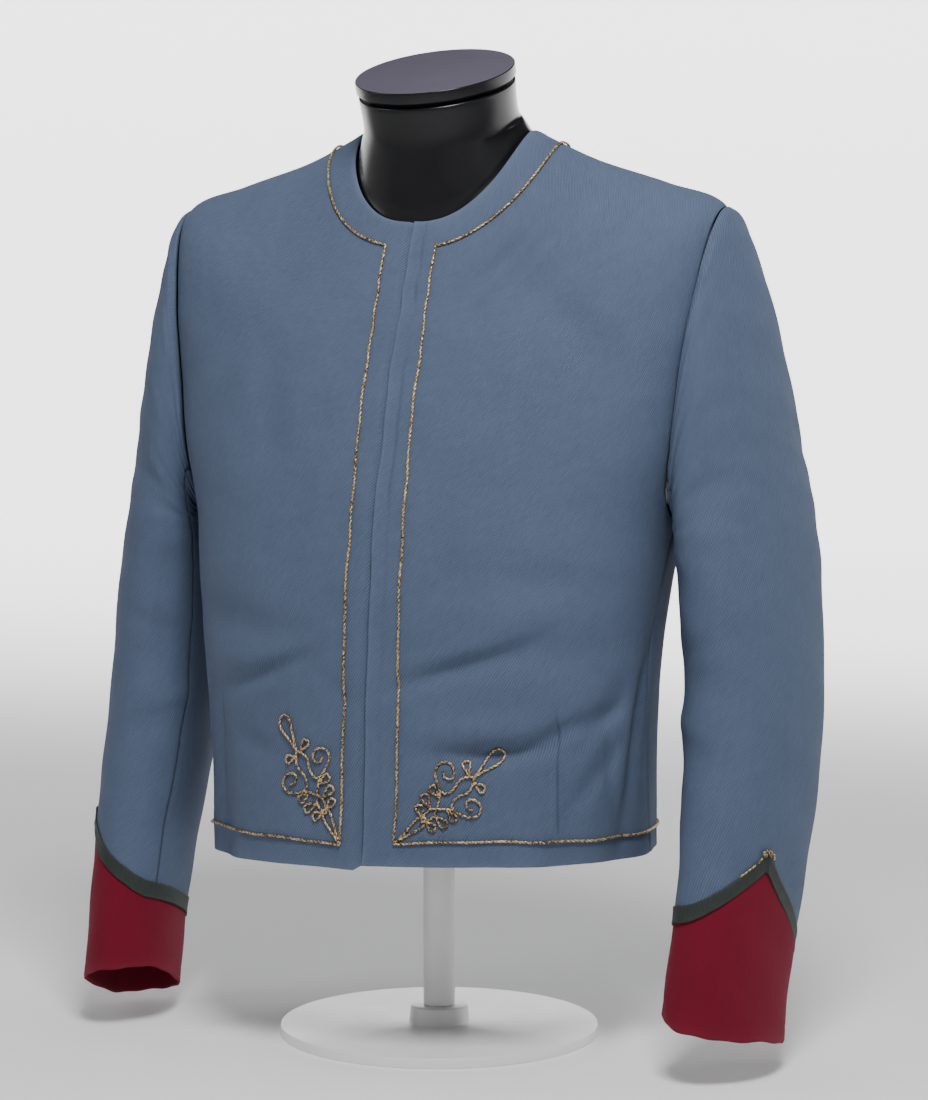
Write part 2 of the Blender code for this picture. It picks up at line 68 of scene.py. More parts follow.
# Soft folds of the body: side (-1 front, 1 back), x, height, half length, half width, slope in degrees, depth.
cadFolds = (
    (-1, 0.110, 0.150, 0.070, 0.016, 4, 0.0050),
    (-1, 0.125, 0.205, 0.060, 0.015, -6, 0.0035),
    (-1, -0.110, 0.165, 0.060, 0.016, -6, 0.0040),
    (-1, 0.130, 0.400, 0.080, 0.017, -38, 0.0045),
    (-1, -0.130, 0.395, 0.070, 0.017, 40, 0.0040),
    (1, 0.060, 0.150, 0.090, 0.018, 5, 0.0045),
    (1, -0.080, 0.190, 0.080, 0.018, -5, 0.0045),
)
# Finer creases, a negative depth being a ridge.
fineFolds = (
    (-1, 0.079, 0.443, 0.060, 0.0110, 52, 0.0072),
    (-1, 0.100, 0.436, 0.052, 0.0110, 53, -0.0034),
    (-1, 0.061, 0.446, 0.040, 0.008, 64, 0.0012),
    (-1, 0.066, 0.139, 0.044, 0.0070, 18, 0.0058),
    (-1, 0.064, 0.152, 0.040, 0.0085, 16, -0.0020),
    (-1, 0.120, 0.160, 0.028, 0.0065, 30, 0.0014),
    (-1, -0.092, 0.128, 0.046, 0.0075, 22, 0.0058),
    (-1, -0.100, 0.144, 0.042, 0.0095, 15, -0.0022),
    (-1, -0.020, 0.118, 0.030, 0.0070, -40, 0.0014),
    (-1, 0.096, 0.078, 0.036, 0.0065, 3, 0.0080),
    (-1, 0.090, 0.096, 0.040, 0.0100, 4, -0.0040),
    (-1, 0.146, 0.095, 0.036, 0.0070, 26, 0.0062),
    (-1, 0.166, 0.106, 0.028, 0.0060, 62, 0.0060),
    (-1, 0.160, 0.060, 0.028, 0.0060, 64, 0.0052),
    (-1, -0.105, 0.075, 0.030, 0.0080, -12, 0.0016),
    (-1, 0.107, 0.280, 0.062, 0.013, 84, 0.0028),
    (-1, 0.075, 0.230, 0.050, 0.011, 95, -0.0012),
    (-1, -0.100, 0.330, 0.070, 0.016, -80, 0.0028),
    (-1, -0.065, 0.255, 0.050, 0.011, 82, 0.0013),
    (-1, -0.155, 0.330, 0.050, 0.010, 62, 0.0016),
    (-1, 0.160, 0.350, 0.050, 0.010, -60, 0.0016),
    (1, 0.100, 0.400, 0.070, 0.012, -30, 0.0036),
    (1, -0.100, 0.400, 0.070, 0.012, 30, 0.0036),
    (1, 0.120, 0.300, 0.060, 0.014, -62, 0.0034),
    (1, -0.120, 0.290, 0.060, 0.014, 62, 0.0034),
    (1, 0.000, 0.112, 0.100, 0.010, 2, 0.0040),
    (1, 0.070, 0.085, 0.050, 0.009, -10, 0.0030),
    (1, -0.060, 0.138, 0.050, 0.009, 12, 0.0034),
)

# Upright folds beside the side seams: side, angle, place, half height in rows, half width, slope, depth.
sideFolds = (
    (1, 1.44, 1.9, 1.2, 0.060, 0.08, 0.0058),
    (1, 1.30, 1.7, 1.1, 0.070, 0.06, -0.0024),
    (1, 1.22, 1.2, 0.7, 0.055, -0.06, 0.0024),
    (-1, 1.40, 1.6, 1.1, 0.060, 0.06, 0.0032),
)

# Rings of the sleeve cap: inner x, y and height, outer x, y and height, half depth, toe-in in degrees,
# and the share of its own shape.
capRings = (
    (0.2030, 0.001, 0.2445, 0.2345, 0.028, 0.4790, 0.066, 4, 0.30),
    (0.2045, 0.005, 0.2425, 0.2440, 0.028, 0.4600, 0.067, 6, 0.55),
    (0.2060, 0.010, 0.2400, 0.2505, 0.027, 0.4280, 0.069, 8, 0.75),
    (0.2070, 0.015, 0.2370, 0.2565, 0.025, 0.3890, 0.071, 10, 0.92),
    (0.2077, 0.020, 0.2335, 0.2620, 0.022, 0.3500, 0.073, 12, 1.00),
    (0.2080, 0.025, 0.2295, 0.2670, 0.020, 0.3130, 0.075, 13, 1.00),
    (0.2078, 0.029, 0.2250, 0.2730, 0.020, 0.2790, 0.076, 14, 1.00),
    (0.2068, 0.032, 0.2190, 0.2795, 0.020, 0.2420, 0.077, 14, 1.00),
)
# Rings of the arm: x, y and height of the middle, half width, half depth, tilt and toe-in in degrees.
armRings = (
    (0.2470, 0.0275, 0.190, 0.0405, 0.0765, 0, 14),
    (0.2500, 0.0240, 0.120, 0.0430, 0.0730, 6, 14),
    (0.2520, 0.0100, 0.050, 0.0420, 0.0690, 13, 14),
    (0.2535, -0.0100, -0.015, 0.0380, 0.0650, 18, 13),
    (0.2515, -0.0280, -0.070, 0.0355, 0.0630, 20, 13),
    (0.2490, -0.0460, -0.132, 0.0345, 0.0625, 20, 13),
)
ovalPower = 2.2
lastRing = len(capRings) + len(armRings)
# Creases of the sleeves: ring, angle from the outer side in degrees, half widths of both, slope, depth.
sleeveFolds = (
    (10.0, 110, 0.35, 45, 0, 0.0040),
    (10.9, 100, 0.30, 50, 0, 0.0035),
    (6.5, 70, 0.80, 30, 0, 0.0030),
    (9.2, -80, 0.40, 40, 0, 0.0030),
    (9.6, 95, 0.14, 50, 0.004, 0.0016),
    (10.5, 120, 0.13, 45, -0.004, -0.0014),
    (11.3, 90, 0.13, 45, 0.003, 0.0012),
    (7.6, 20, 0.50, 18, 0.010, 0.0014),
    (5.5, -30, 0.90, 14, 0, 0.0012),
)


def smoothStep(value):
    value = np.clip(value, 0, 1)
    return value * value * (3 - 2 * value)


# A soft bump: 1 at 0, fading out on both sides.
def bell(value):
    return np.exp(-(value**2))


def unit(vectors):
    return vectors / np.linalg.norm(vectors, axis=-1, keepdims=True)


def signedPower(value, power):
    return np.sign(value) * np.abs(value) ** power


# The distance along a run or a grid of points, from its start.
def reachAlong(points, axis=0):
    steps = np.linalg.norm(np.diff(points, axis=axis), axis=-1)
    return np.concatenate((np.zeros_like(steps.take([0], axis)), np.cumsum(steps, axis)), axis)


# The smooth curve through these rows, at a place counted in rows.
def blendRows(rows, place):
    rows = np.asarray(rows, float)
    last = len(rows) - 1
    place = np.clip(np.asarray(place, float), 0, last)
    k = np.minimum(place.astype(int), last - 1)
    f = (place - k).reshape(place.shape + (1,) * (rows.ndim - 1))
    here, after = rows[k], rows[k + 1]
    first = (k == 0).reshape(f.shape)
    final = (k == last - 1).reshape(f.shape)
    leaving = np.where(first, after - here, (after - rows[np.maximum(k - 1, 0)]) / 2)
    arriving = np.where(final, after - here, (rows[np.minimum(k + 2, last)] - here) / 2)
    start = (2 * f**3 - 3 * f**2 + 1) * here + (f**3 - 2 * f**2 + f) * leaving
    return start + (3 * f**2 - 2 * f**3) * after + (f**3 - f**2) * arriving


# How far the folds and creases draw the cloth in at these points of the front or the back.
def foldDepths(x, height, front):
    depth = np.zeros(np.shape(x))
    for side, foldX, foldHeight, length, width, slope, deep in cadFolds + fineFolds:
        c, s = cos(radians(slope)), sin(radians(slope))
        along = (x - foldX) * c + (height - foldHeight) * s
        across = (height - foldHeight) * c - (x - foldX) * s
        trough = deep * bell(along / length) * bell(across / width)
        depth += np.where(front == (side < 0), trough, 0)
    return depth


def sideFoldDepths(angle, place):
    depth = np.zeros(np.shape(angle))
    turned = (angle + pi) % (2 * pi) - pi
    for side, middle, row, tall, wide, slope, deep in sideFolds:
        lean = place - row
        across = turned * side - middle - slope * lean
        depth += deep * bell(across / wide) * bell(lean / tall)
    return depth


# Slow waves, less than 1 mm high, that keep the cloth from looking cast.
def unevenness(x, height):
    waves = np.sin(x * 71 + height * 23 + 0.4) * np.sin(height * 64 - x * 17 + 1.1)
    waves += 0.6 * np.sin(x * 133 - height * 47 + 2.0) * np.sin(height * 118 + x * 31)
    return waves * 0.00045


# The body's outer surface: angle 0 at the centre front, pi/2 at the wearer's left side, pi at the back.
def bodyPoints(angle, place):
    angle, place = np.broadcast_arrays(np.asarray(angle, float), np.asarray(place, float))
    row = np.moveaxis(blendRows(bodyRows, place), -1, 0)
    zFront, zSide, zBack, halfWidth, yFront, ySide, yBack, frontPower, backPower = row
    front = np.cos(angle) >= 0
    power = 2 / np.where(front, frontPower, backPower)
    forward = np.abs(np.cos(angle)) ** power
    x = (halfWidth * np.abs(np.sin(angle)) ** power - sideFoldDepths(angle, place)) * np.sign(np.sin(angle))
    y = ySide + (np.where(front, yFront, yBack) - ySide) * forward
    height = zSide + (np.where(front, zFront, zBack) - zSide) * forward**heightPower
    height = height + hemSlope * x * np.exp(-place)
    depth = foldDepths(x, height, front) * smoothStep(2 * forward)
    depth = depth + unevenness(x, height) * smoothStep(forward / 0.3)
    return np.stack([x, y + np.where(front, depth, -depth), height + hemHeight], -1)


def bodyNormals(angle, place, step=0.01):
    around = bodyPoints(angle + step, place) - bodyPoints(angle - step, place)
    higher = np.minimum(np.asarray(place, float) + step, neckRow)
    lower = np.maximum(np.asarray(place, float) - step, 0)
    return unit(np.cross(around, bodyPoints(angle, higher) - bodyPoints(angle, lower)))


def armholeX(height):
    heights, distances = zip(*armhole)
    return np.interp(height, heights, distances)


# Where each row of the front or back half ends: at the side seam, the armhole or the shoulder seam.
def sideAngles(places, front):
    places = np.asarray(places, float)
    inner = np.full(places.shape, 0.2 if front else pi - 0.2)
    outer = np.full(places.shape, pi / 2)
    for _ in range(40):
        middle = (inner + outer) / 2
        point = bodyPoints(middle, places)
        inside = point[..., 0] < armholeX(point[..., 2] - hemHeight)
        inner = np.where(inside, middle, inner)
        outer = np.where(inside, outer, middle)
    between = (places > underarm) & (places < shoulderTip)
    return np.where(between, outer, pi / 2)


# The angle on the front at which each row reaches this x.
def anglesAtX(x, places):
    row = blendRows(bodyRows, places)
    return np.sign(x) * np.arcsin((np.abs(x) / row[..., 3]) ** (row[..., 7] / 2))


# Fine rows and columns: steps in metres next to an edge, the even spacing in rows, and columns of a sleeve.
fineness = {
    "edgeSteps": (0.0, 0.0004, 0.0010, 0.0018, 0.0030, 0.0046),
    "dartSteps": (-0.0022, -0.0013, -0.0008, -0.0004, 0.0, 0.0004, 0.0008, 0.0013, 0.0022),
    "dartRows": 3.2,  # above these rows the dart's columns leave it for their share of the panel's width
    "dartShare": 0.57,
    "lowRows": 88,
    "armholeRows": 96,
    "highRows": 34,
    "sleeveColumns": 192,
}


def armholePlaces():
    count = fineness["armholeRows"]
    return underarm + (shoulderTip - underarm) * (1 - np.cos(pi * np.arange(count + 1) / count)) / 2


# The panels' rows, with extra ones along the hem and the neck.
def panelPlaces():
    edge = np.array(fineness["edgeSteps"])
    nearHem, nearNeck = edge / rowLength, neckRow - edge[::-1] / neckRowLength
    low = np.linspace(nearHem[-1], underarm, fineness["lowRows"])[1:-1]
    high = np.linspace(shoulderTip, nearNeck[0], fineness["highRows"])[1:-1]
    return np.concatenate((nearHem, low, armholePlaces(), high, nearNeck))


# Angles along every row, evenly spaced by length, with finer steps at the edges and along a dart.
def anglesAlong(starts, ends, places, count, startEdge=True, endEdge=True, dartX=None):
    fine = starts[:, None] + (ends - starts)[:, None] * np.linspace(0, 1, 161)
    points = bodyPoints(fine, places[:, None])
    length = reachAlong(points, 1)
    edge = np.array(fineness["edgeSteps"])
    angles, distances = [], []
    for row in range(len(places)):
        total = length[row, -1]
        wanted = [edge + seamGap / 2 * (not startEdge)]
        if dartX is None:
            wanted.append(np.linspace(edge[-1], total - edge[-1], count + 2)[1:-1])
        else:
            beside = np.interp(dartX, np.abs(points[row, :, 0]), length[row])
            free = smoothStep((places[row] - fineness["dartRows"]) / 3)
            middle = beside * (1 - free) + fineness["dartShare"] * total * free
            dart = middle + np.array(fineness["dartSteps"])
            before = int(fineness["dartShare"] * count)
            wanted.append(np.linspace(edge[-1], dart[0], before + 2)[1:-1])
            wanted.append(dart)
            wanted.append(np.linspace(dart[-1], total - edge[-1], count - before + 2)[1:-1])
        wanted.append(total - edge[::-1] - seamGap / 2 * endEdge)
        wanted = np.concatenate(wanted)
        angles.append(np.interp(wanted, length[row], fine[row]))
        distances.append(wanted)
    return np.array(angles), np.array(distances)


# How far the outer skin of a turned edge falls away, this far from the edge.
def edgeRound(distance, radius=0.0010, spare=0.0002):
    near = np.clip(1 - distance / radius, 0, 1)
    return (cloth / 2 - spare) * (1 - np.sqrt(1 - near**2))


# How far the outer skin sinks at this distance from a seam's line.
def seamDip(distance, depth=0.0009, width=0.0018):
    return depth * bell(distance / width)


# A new mesh object in the scene, with its wear and painted shade: from 0 to 1 for wear, down to -1 for painted
# shade in a seam's line, and on a cord from 0 to 1 for painted shade between its strands.
def meshPiece(name, points, faces, material, wearAndPaintedShade=None):
    mesh = bpy.data.meshes.new(name)
    mesh.from_pydata(points.tolist(), [], faces)
    if wearAndPaintedShade is not None:
        mesh.attributes.new("wearAndPaintedShade", "FLOAT", "POINT").data.foreach_set("value", wearAndPaintedShade)
    mesh.materials.append(material)
    mesh.shade_smooth()
    obj = bpy.data.objects.new(name, mesh)
    bpy.context.scene.collection.objects.link(obj)
    return obj


# A closed sheet between two grids of points, with its UVs in metres.
def addSheet(name, outer, inner, uv, wearAndPaintedShade, material, flip=False, tube=False):
    rows, columns = outer.shape[:2]
    index = np.arange(rows * columns).reshape(rows, columns)
    if tube:
        index = np.concatenate((index, index[:, :1]), axis=1)
    below = rows * columns
    quad = np.stack([index[:-1, :-1], index[:-1, 1:], index[1:, 1:], index[1:, :-1]], -1).reshape(-1, 4)
    faces = [quad, quad[:, ::-1] + below]
    for row, turn in ((0, 1), (-1, -1)):
        a, b = index[row, :-1], index[row, 1:]
        faces.append(np.stack([b, a, a + below, b + below], -1)[:, ::turn])
    if not tube:
        for column, turn in ((0, 1), (-1, -1)):
            a, b = index[:-1, column], index[1:, column]
            faces.append(np.stack([a, b, b + below, a + below], -1)[:, ::turn])
    faces = np.concatenate(faces)
    if flip:
        faces = faces[:, ::-1]
    points = np.concatenate((outer.reshape(-1, 3), inner.reshape(-1, 3)))
    obj = meshPiece(name, points, faces.tolist(), material, np.tile(wearAndPaintedShade.reshape(-1), 2))
    flat = np.tile(uv.reshape(-1, 2), (2, 1))
    obj.data.uv_layers.new(name="cloth").data.foreach_set("uv", flat[faces.reshape(-1)].reshape(-1))
    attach(obj, "root")
    return obj


# Outward normals of a closed ring grid, for the wearer's left side (1) or right side (-1).
def gridNormals(points, side):
    around = np.roll(points, -1, axis=1) - np.roll(points, 1, axis=1)
    return unit(np.cross(around, np.gradient(points, axis=0))) * side


def node(tree, kind, inputs=(), **settings):
    made = tree.nodes.new(kind)
    for key, value in settings.items():
        setattr(made, key, value)
    for key, value in dict(inputs).items():
        if isinstance(value, bpy.types.NodeSocket):
            tree.links.new(value, made.inputs[key])
        else:
            made.inputs[key].default_value = value
    return made


def newMaterial(name):
    material = bpy.data.materials.new(name)
    material.use_nodes = True
    tree = material.node_tree
    return material, tree, tree.nodes["Principled BSDF"]


def mixColour(tree, share, first, second, mode="MIX"):
    mixed = node(tree, "ShaderNodeMix", data_type="RGBA", blend_type=mode)
    for socket, value in ((mixed.inputs[0], share), (mixed.inputs[6], first), (mixed.inputs[7], second)):
        if isinstance(value, bpy.types.NodeSocket):
            tree.links.new(value, socket)
        else:
            socket.default_value = value
    return mixed.outputs[2]


def calc(tree, operation, *values, clamp=False):
    made = node(tree, "ShaderNodeMath", operation=operation, use_clamp=clamp)
    for socket, value in zip(made.inputs, values):
        if isinstance(value, bpy.types.NodeSocket):
            tree.links.new(value, socket)
        else:
            socket.default_value = value
    return made.outputs[0]


def noise(tree, vector, scale, detail):
    return node(tree, "ShaderNodeTexNoise", {"Vector": vector, "Scale": scale, "Detail": detail}).outputs[0]


# Wool with a twill line, mottled threads, nap, worn edges and painted shade that darkens its seams, darts and
# stitch lines. Its UVs are in metres.
def clothMaterial(settings):
    material, tree, shader = newMaterial(settings["name"])
    uv = node(tree, "ShaderNodeUVMap", uv_map="cloth").outputs[0]
    turn = (0, 0, radians(settings["twillTurn"]))
    line = node(tree, "ShaderNodeMapping", {"Vector": uv, "Rotation": turn}).outputs[0]
    wobble = noise(tree, uv, 60.0, 2.0)
    perMetre = pi / 10 / settings["pitch"]
    waves = {"Vector": line, "Scale": perMetre, "Distortion": 1.2, "Detail": 1.0, "Detail Scale": 1.5}
    twill = node(tree, "ShaderNodeTexWave", waves, wave_type="BANDS", bands_direction="X").outputs[1]
    thread = noise(tree, uv, settings["thread"], 3.0)
    drawn = node(tree, "ShaderNodeMapping", {"Vector": line, "Scale": (1, 0.16, 1)}).outputs[0]
    streak = noise(tree, drawn, settings["streak"], 2.0)
    contrast = calc(tree, "MULTIPLY_ADD", streak, 3.2, -1.1, clamp=True)
    cloudy = noise(tree, uv, 11.0, 3.0)
    wearAndPaintedShade = node(tree, "ShaderNodeAttribute", attribute_name="wearAndPaintedShade").outputs[2]
    dark, light = settings["dark"], settings["light"]
    lines = calc(tree, "MULTIPLY", twill, settings["twill"])
    grain = calc(tree, "MULTIPLY_ADD", thread, settings["mottle"], lines)
    grain = calc(tree, "MULTIPLY_ADD", contrast, settings["streaks"], grain)
    grain = calc(tree, "MULTIPLY_ADD", cloudy, settings["cloud"], grain)
    grain = calc(tree, "MULTIPLY_ADD", wobble, 0.10, grain)
    middle = (settings["twill"] + settings["mottle"] + settings["streaks"] + settings["cloud"] + 0.10) / 2
    share = calc(tree, "SUBTRACT", grain, middle - 0.5, clamp=True)
    colour = mixColour(tree, share, (*dark, 1), (*light, 1))
    colour = mixColour(tree, calc(tree, "MULTIPLY", wearAndPaintedShade, settings["wearAndPaintedShade"]), colour, (*settings["worn"], 1))
    # Painted shade: where the attribute falls below 0, along seam, dart and stitch lines, the colour darkens
    # towards three tenths of the dark thread colour.
    deep = calc(tree, "MULTIPLY", wearAndPaintedShade, -0.75, clamp=True)
    colour = mixColour(tree, deep, colour, (*[value * 0.3 for value in dark], 1))
    tree.links.new(colour, shader.inputs["Base Color"])
    ribs = calc(tree, "MULTIPLY", calc(tree, "ADD", twill, contrast), settings["rib"] / 2)
    height = calc(tree, "MULTIPLY_ADD", thread, 0.8, ribs)
    bump = node(tree, "ShaderNodeBump", {"Height": height, "Strength": settings["bump"], "Distance": 0.0004})
    tree.links.new(bump.outputs[0], shader.inputs["Normal"])
    shader.inputs["Roughness"].default_value = settings["roughness"]
    shader.inputs["Specular IOR Level"].default_value = 0.25
    shader.inputs["Sheen Weight"].default_value = settings["sheen"]
    shader.inputs["Sheen Roughness"].default_value = 0.5
    shader.inputs["Sheen Tint"].default_value = (*settings["light"], 1)
    return material


wool = clothMaterial({
    "name": "grey-blue wool twill",
    "dark": (0.026, 0.040, 0.070),
    "light": (0.112, 0.147, 0.230),
    "worn": (0.150, 0.185, 0.265),
    "twillTurn": 30,
    "pitch": 0.0018,
    "thread": 1400.0,
    "streak": 560.0,
    "twill": 0.36,
    "streaks": 0.10,
    "mottle": 0.80,
    "cloud": 0.20,
    "wearAndPaintedShade": 0.30,
    "rib": 1.0,
    "bump": 0.38,
    "roughness": 0.88,
    "sheen": 0.12,
})
crimson = clothMaterial({
    "name": "crimson wool",
    "dark": (0.075, 0.0008, 0.0080),
    "light": (0.175, 0.0030, 0.0200),
    "worn": (0.240, 0.030, 0.050),
    "twillTurn": 20,
    "pitch": 0.0012,
    "thread": 2200.0,
    "streak": 700.0,
    "streaks": 0.12,
    "twill": 0.08,
    "mottle": 0.70,
    "cloud": 0.45,
    "wearAndPaintedShade": 0.30,
    "rib": 0.2,
    "bump": 0.45,
    "roughness": 0.92,
    "sheen": 0.25,
})
ribbonCloth = clothMaterial({
    "name": "dark green ribbon",
    "dark": (0.008, 0.011, 0.010),
    "light": (0.034, 0.045, 0.040),
    "worn": (0.070, 0.078, 0.070),
    "twillTurn": 0,
    "pitch": 0.0011,
    "thread": 1500.0,
    "streak": 500.0,
    "streaks": 0.20,
    "twill": 0.45,
    "mottle": 0.50,
    "cloud": 0.30,
    "wearAndPaintedShade": 0.35,
    "rib": 1.2,
    "bump": 0.55,
    "roughness": 0.70,
    "sheen": 0.10,
})


# Tarnished metal thread: brown, with glints painted in as bright specks and painted shade, near black, between
# the strands, so that their crowns stay bright.
def goldMaterial(settings):
    material, tree, shader = newMaterial(settings["name"])
    place = node(tree, "ShaderNodeTexCoord").outputs["Object"]
    tarnish = noise(tree, place, 160.0, 4.0)
    glint = noise(tree, place, 620.0, 2.0)
    wearAndPaintedShade = node(tree, "ShaderNodeAttribute", attribute_name="wearAndPaintedShade").outputs[2]
    age = noise(tree, place, 22.0, 2.0)
    # Painted glints: bright specks of this noise, with the tarnish, lighten the colour towards gold.
    bright = calc(tree, "MULTIPLY_ADD", glint, 3.4, -1.75)
    bright = calc(tree, "MULTIPLY_ADD", tarnish, 1.4, bright)
    share = calc(tree, "MULTIPLY_ADD", age, 1.2, calc(tree, "SUBTRACT", bright, 0.78), clamp=True)
    colour = mixColour(tree, share, (*settings["dark"], 1), (*settings["light"], 1))
    # Painted shade between the strands: the cord's attribute darkens the colour there to near black.
    colour = mixColour(tree, calc(tree, "MULTIPLY", wearAndPaintedShade, 1.0), colour, (*settings["groove"], 1))
    tree.links.new(colour, shader.inputs["Base Color"])
    shader.inputs["Metallic"].default_value = 0.55
    shader.inputs["Roughness"].default_value = 0.42
    bump = node(tree, "ShaderNodeBump", {"Height": glint, "Strength": 0.4, "Distance": 0.0003})
    tree.links.new(bump.outputs[0], shader.inputs["Normal"])
    return material


gold = goldMaterial({
    "name": "gold cord",
    "dark": (0.085, 0.042, 0.016),
    "light": (0.830, 0.620, 0.340),
    "groove": (0.012, 0.007, 0.004),
})


# Moulded plastic or paint: colour with faint dust and small changes of gloss.
def plasticMaterial(settings):
    material, tree, shader = newMaterial(settings["name"])
    place = node(tree, "ShaderNodeTexCoord").outputs["Object"]
    dust = noise(tree, place, 40.0, 6.0)
    speck = noise(tree, place, 700.0, 2.0)
    share = calc(tree, "MULTIPLY", dust, settings["dust"])
    colour = mixColour(tree, share, (*settings["colour"], 1), (*settings["dusty"], 1))
    tree.links.new(colour, shader.inputs["Base Color"])
    gloss = calc(tree, "MULTIPLY_ADD", dust, settings["spread"], settings["roughness"])
    tree.links.new(gloss, shader.inputs["Roughness"])
    bump = node(tree, "ShaderNodeBump", {"Height": speck, "Strength": settings["bump"], "Distance": 0.0002})
    tree.links.new(bump.outputs[0], shader.inputs["Normal"])
    shader.inputs["Coat Weight"].default_value = settings["coat"]
    shader.inputs["Coat Roughness"].default_value = 0.08
    shader.inputs["Specular IOR Level"].default_value = settings["gloss"]
    return material


blackGloss = plasticMaterial({
    "name": "black gloss plastic",
    "colour": (0.004, 0.004, 0.005),
    "dusty": (0.016, 0.016, 0.018),
    "dust": 0.25,
    "roughness": 0.18,
    "spread": 0.10,
    "bump": 0.05,
    "coat": 0.0,
    "gloss": 0.30,
})
greyCap = plasticMaterial({
    "name": "grey neck cap",
    "colour": (0.070, 0.062, 0.088),
    "dusty": (0.098, 0.090, 0.118),
    "dust": 0.5,
    "roughness": 0.60,
    "spread": 0.16,
    "bump": 0.10,
    "coat": 0.0,
    "gloss": 0.08,
})
whitePaint = plasticMaterial({
    "name": "white painted steel",
    "colour": (0.780, 0.780, 0.780),
    "dusty": (0.700, 0.690, 0.670),
    "dust": 0.4,
    "roughness": 0.30,
    "spread": 0.15,
    "bump": 0.08,
    "coat": 0.2,
    "gloss": 0.5,
})
print("stage: materials made")

fronts = {
    "edgeX": 0.001,
    "lap": 0.013,
    "lapDepth": 0.0029,
    "lapStart": 0.0062,
    "lapRun": 0.0054,
    "edgeLift": 0.0014,
    "columns": 100,
    "neckStitch": 0.0060,
    "frontStitch": 0.011,
    "hemStitch": 0.034,
    "stitchLine": 0.0008,
    "dartX": 0.139,
    "dartTop": 0.118,
    "dartDepth": 0.0009,
    "dartLine": 0.0008,
    "hollow": 0.0024,
    "hollowWidth": 0.012,
}
hemDrops = {"left": 0.0, "right": 0.0045}


# The front edge's distance from the middle, not quite straight.
def wanderingEdge(places):
    return fronts["edgeX"] + 0.0006 * np.sin(places * 2.1 + 0.4) + 0.0003 * np.sin(places * 5.3)


# The sewn line of the dart from 0 to 1, up from the hem, fading out at its point.
def dartLine(points):
    height = points[..., 2] - hemHeight
    across = (np.abs(points[..., 0]) - fronts["dartX"]) / fronts["dartLine"]
    fade = smoothStep((fronts["dartTop"] - height) / 0.030) * smoothStep((height - 0.012) / 0.010)
    return bell(across) * fade * (points[..., 1] < -0.03)


# How deep the dart draws the cloth in, its line and the soft hollow round it.
def dartDip(points):
    height = points[..., 2] - hemHeight
    across = (np.abs(points[..., 0]) - fronts["dartX"]) / fronts["hollowWidth"]
    hollow = fronts["hollow"] * bell(across) * smoothStep((fronts["dartTop"] + 0.02 - height) / 0.08)
    return fronts["dartDepth"] * dartLine(points) + hollow * (points[..., 1] < -0.03)


# The hem's own soft waviness.
def hemWave(angles, places):
    return bell(places / 0.9) * (0.0016 * np.sin(angles * 9 + 0.5) + 0.0010 * np.sin(angles * 17 + 1.3))


# The outer and inner skins of a panel, its UVs in metres, and its wear with painted shade along its seam, dart
# and stitch lines.
def panelSkins(angles, distances, places, seams, front):
    place = places[:, None]
    points = bodyPoints(angles, place)
    normals = bodyNormals(angles, place)
    total = distances[:, -1:]
    fromNeck = (neckRow - place) * neckRowLength + 0 * distances
    fromHem = place * rowLength + 0 * distances
    dip = edgeRound(fromNeck) + edgeRound(fromHem)
    inner = cloth - dip
    startDip = seamDip(distances) if seams[0] else edgeRound(distances)
    endDip = seamDip(total - distances)
    dip = dip + startDip + endDip
    if not seams[0]:
        inner = inner - startDip
    stitchLine = seamDip(fromNeck - fronts["neckStitch"], 0.0008, 0.0009)
    dip = dip + stitchLine + seamDip(fromHem - fronts["hemStitch"], 0.00015, 0.0012)
    dip = dip - 0.0005 * smoothStep(1 - np.abs(fromNeck - 0.004) / 0.004)
    wearAndPaintedShade = np.exp(-fromNeck / 0.003) + np.exp(-fromHem / 0.003)
    # Painted shade along the neck's stitch line and the seam at the panel's far end, and on a front along its
    # dart and front stitch line; it is taken off the wear below.
    paintedSeamShade = 0.4 * bell((fromNeck - fronts["neckStitch"]) / fronts["stitchLine"])
    paintedSeamShade = paintedSeamShade + 0.7 * bell((total - distances) / 0.0012)
    if front:
        dip = dip + seamDip(distances - fronts["frontStitch"], 0.00030, 0.0010) + dartDip(points)
        wearAndPaintedShade = wearAndPaintedShade + 0.6 * np.exp(-distances / 0.002)
        paintedSeamShade = paintedSeamShade + 0.5 * dartLine(points)
        paintedSeamShade = paintedSeamShade + 0.35 * bell((distances - fronts["frontStitch"]) / fronts["stitchLine"])
    wave = hemWave(angles, place)
    outer = points + normals * (wave - dip)[..., None]
    innerSkin = points + normals * (wave - inner)[..., None]
    uv = np.stack([distances, fromHem], -1)
    paintedSeamShade = np.clip(paintedSeamShade, 0, 1)
    return outer, innerSkin, uv, np.clip(wearAndPaintedShade, 0, 1) * (1 - paintedSeamShade) - paintedSeamShade


# The left front, with its own edge lifted a little over the right one.
def makeFrontLeft():
    places = panelPlaces()
    starts, ends = anglesAtX(wanderingEdge(places), places), sideAngles(places, True)
    angles, distances = anglesAlong(starts, ends, places, fronts["columns"], dartX=fronts["dartX"])
    outer, inner, uv, wearAndPaintedShade = panelSkins(angles, distances, places, (False, True), True)
    normals = bodyNormals(angles, places[:, None])
    lift = fronts["edgeLift"] * np.exp(-distances / 0.005)
    outer = outer + normals * lift[..., None]
    inner = inner + normals * lift[..., None]
    return addSheet("front_left_cloth", outer, inner, uv, wearAndPaintedShade, wool)


# How far the fronts' lower corners hang down, at this distance from the front edge.
def hemDrop(word, distances, places):
    return hemDrops[word] * bell(places / 0.8) * np.exp(-distances / 0.09)


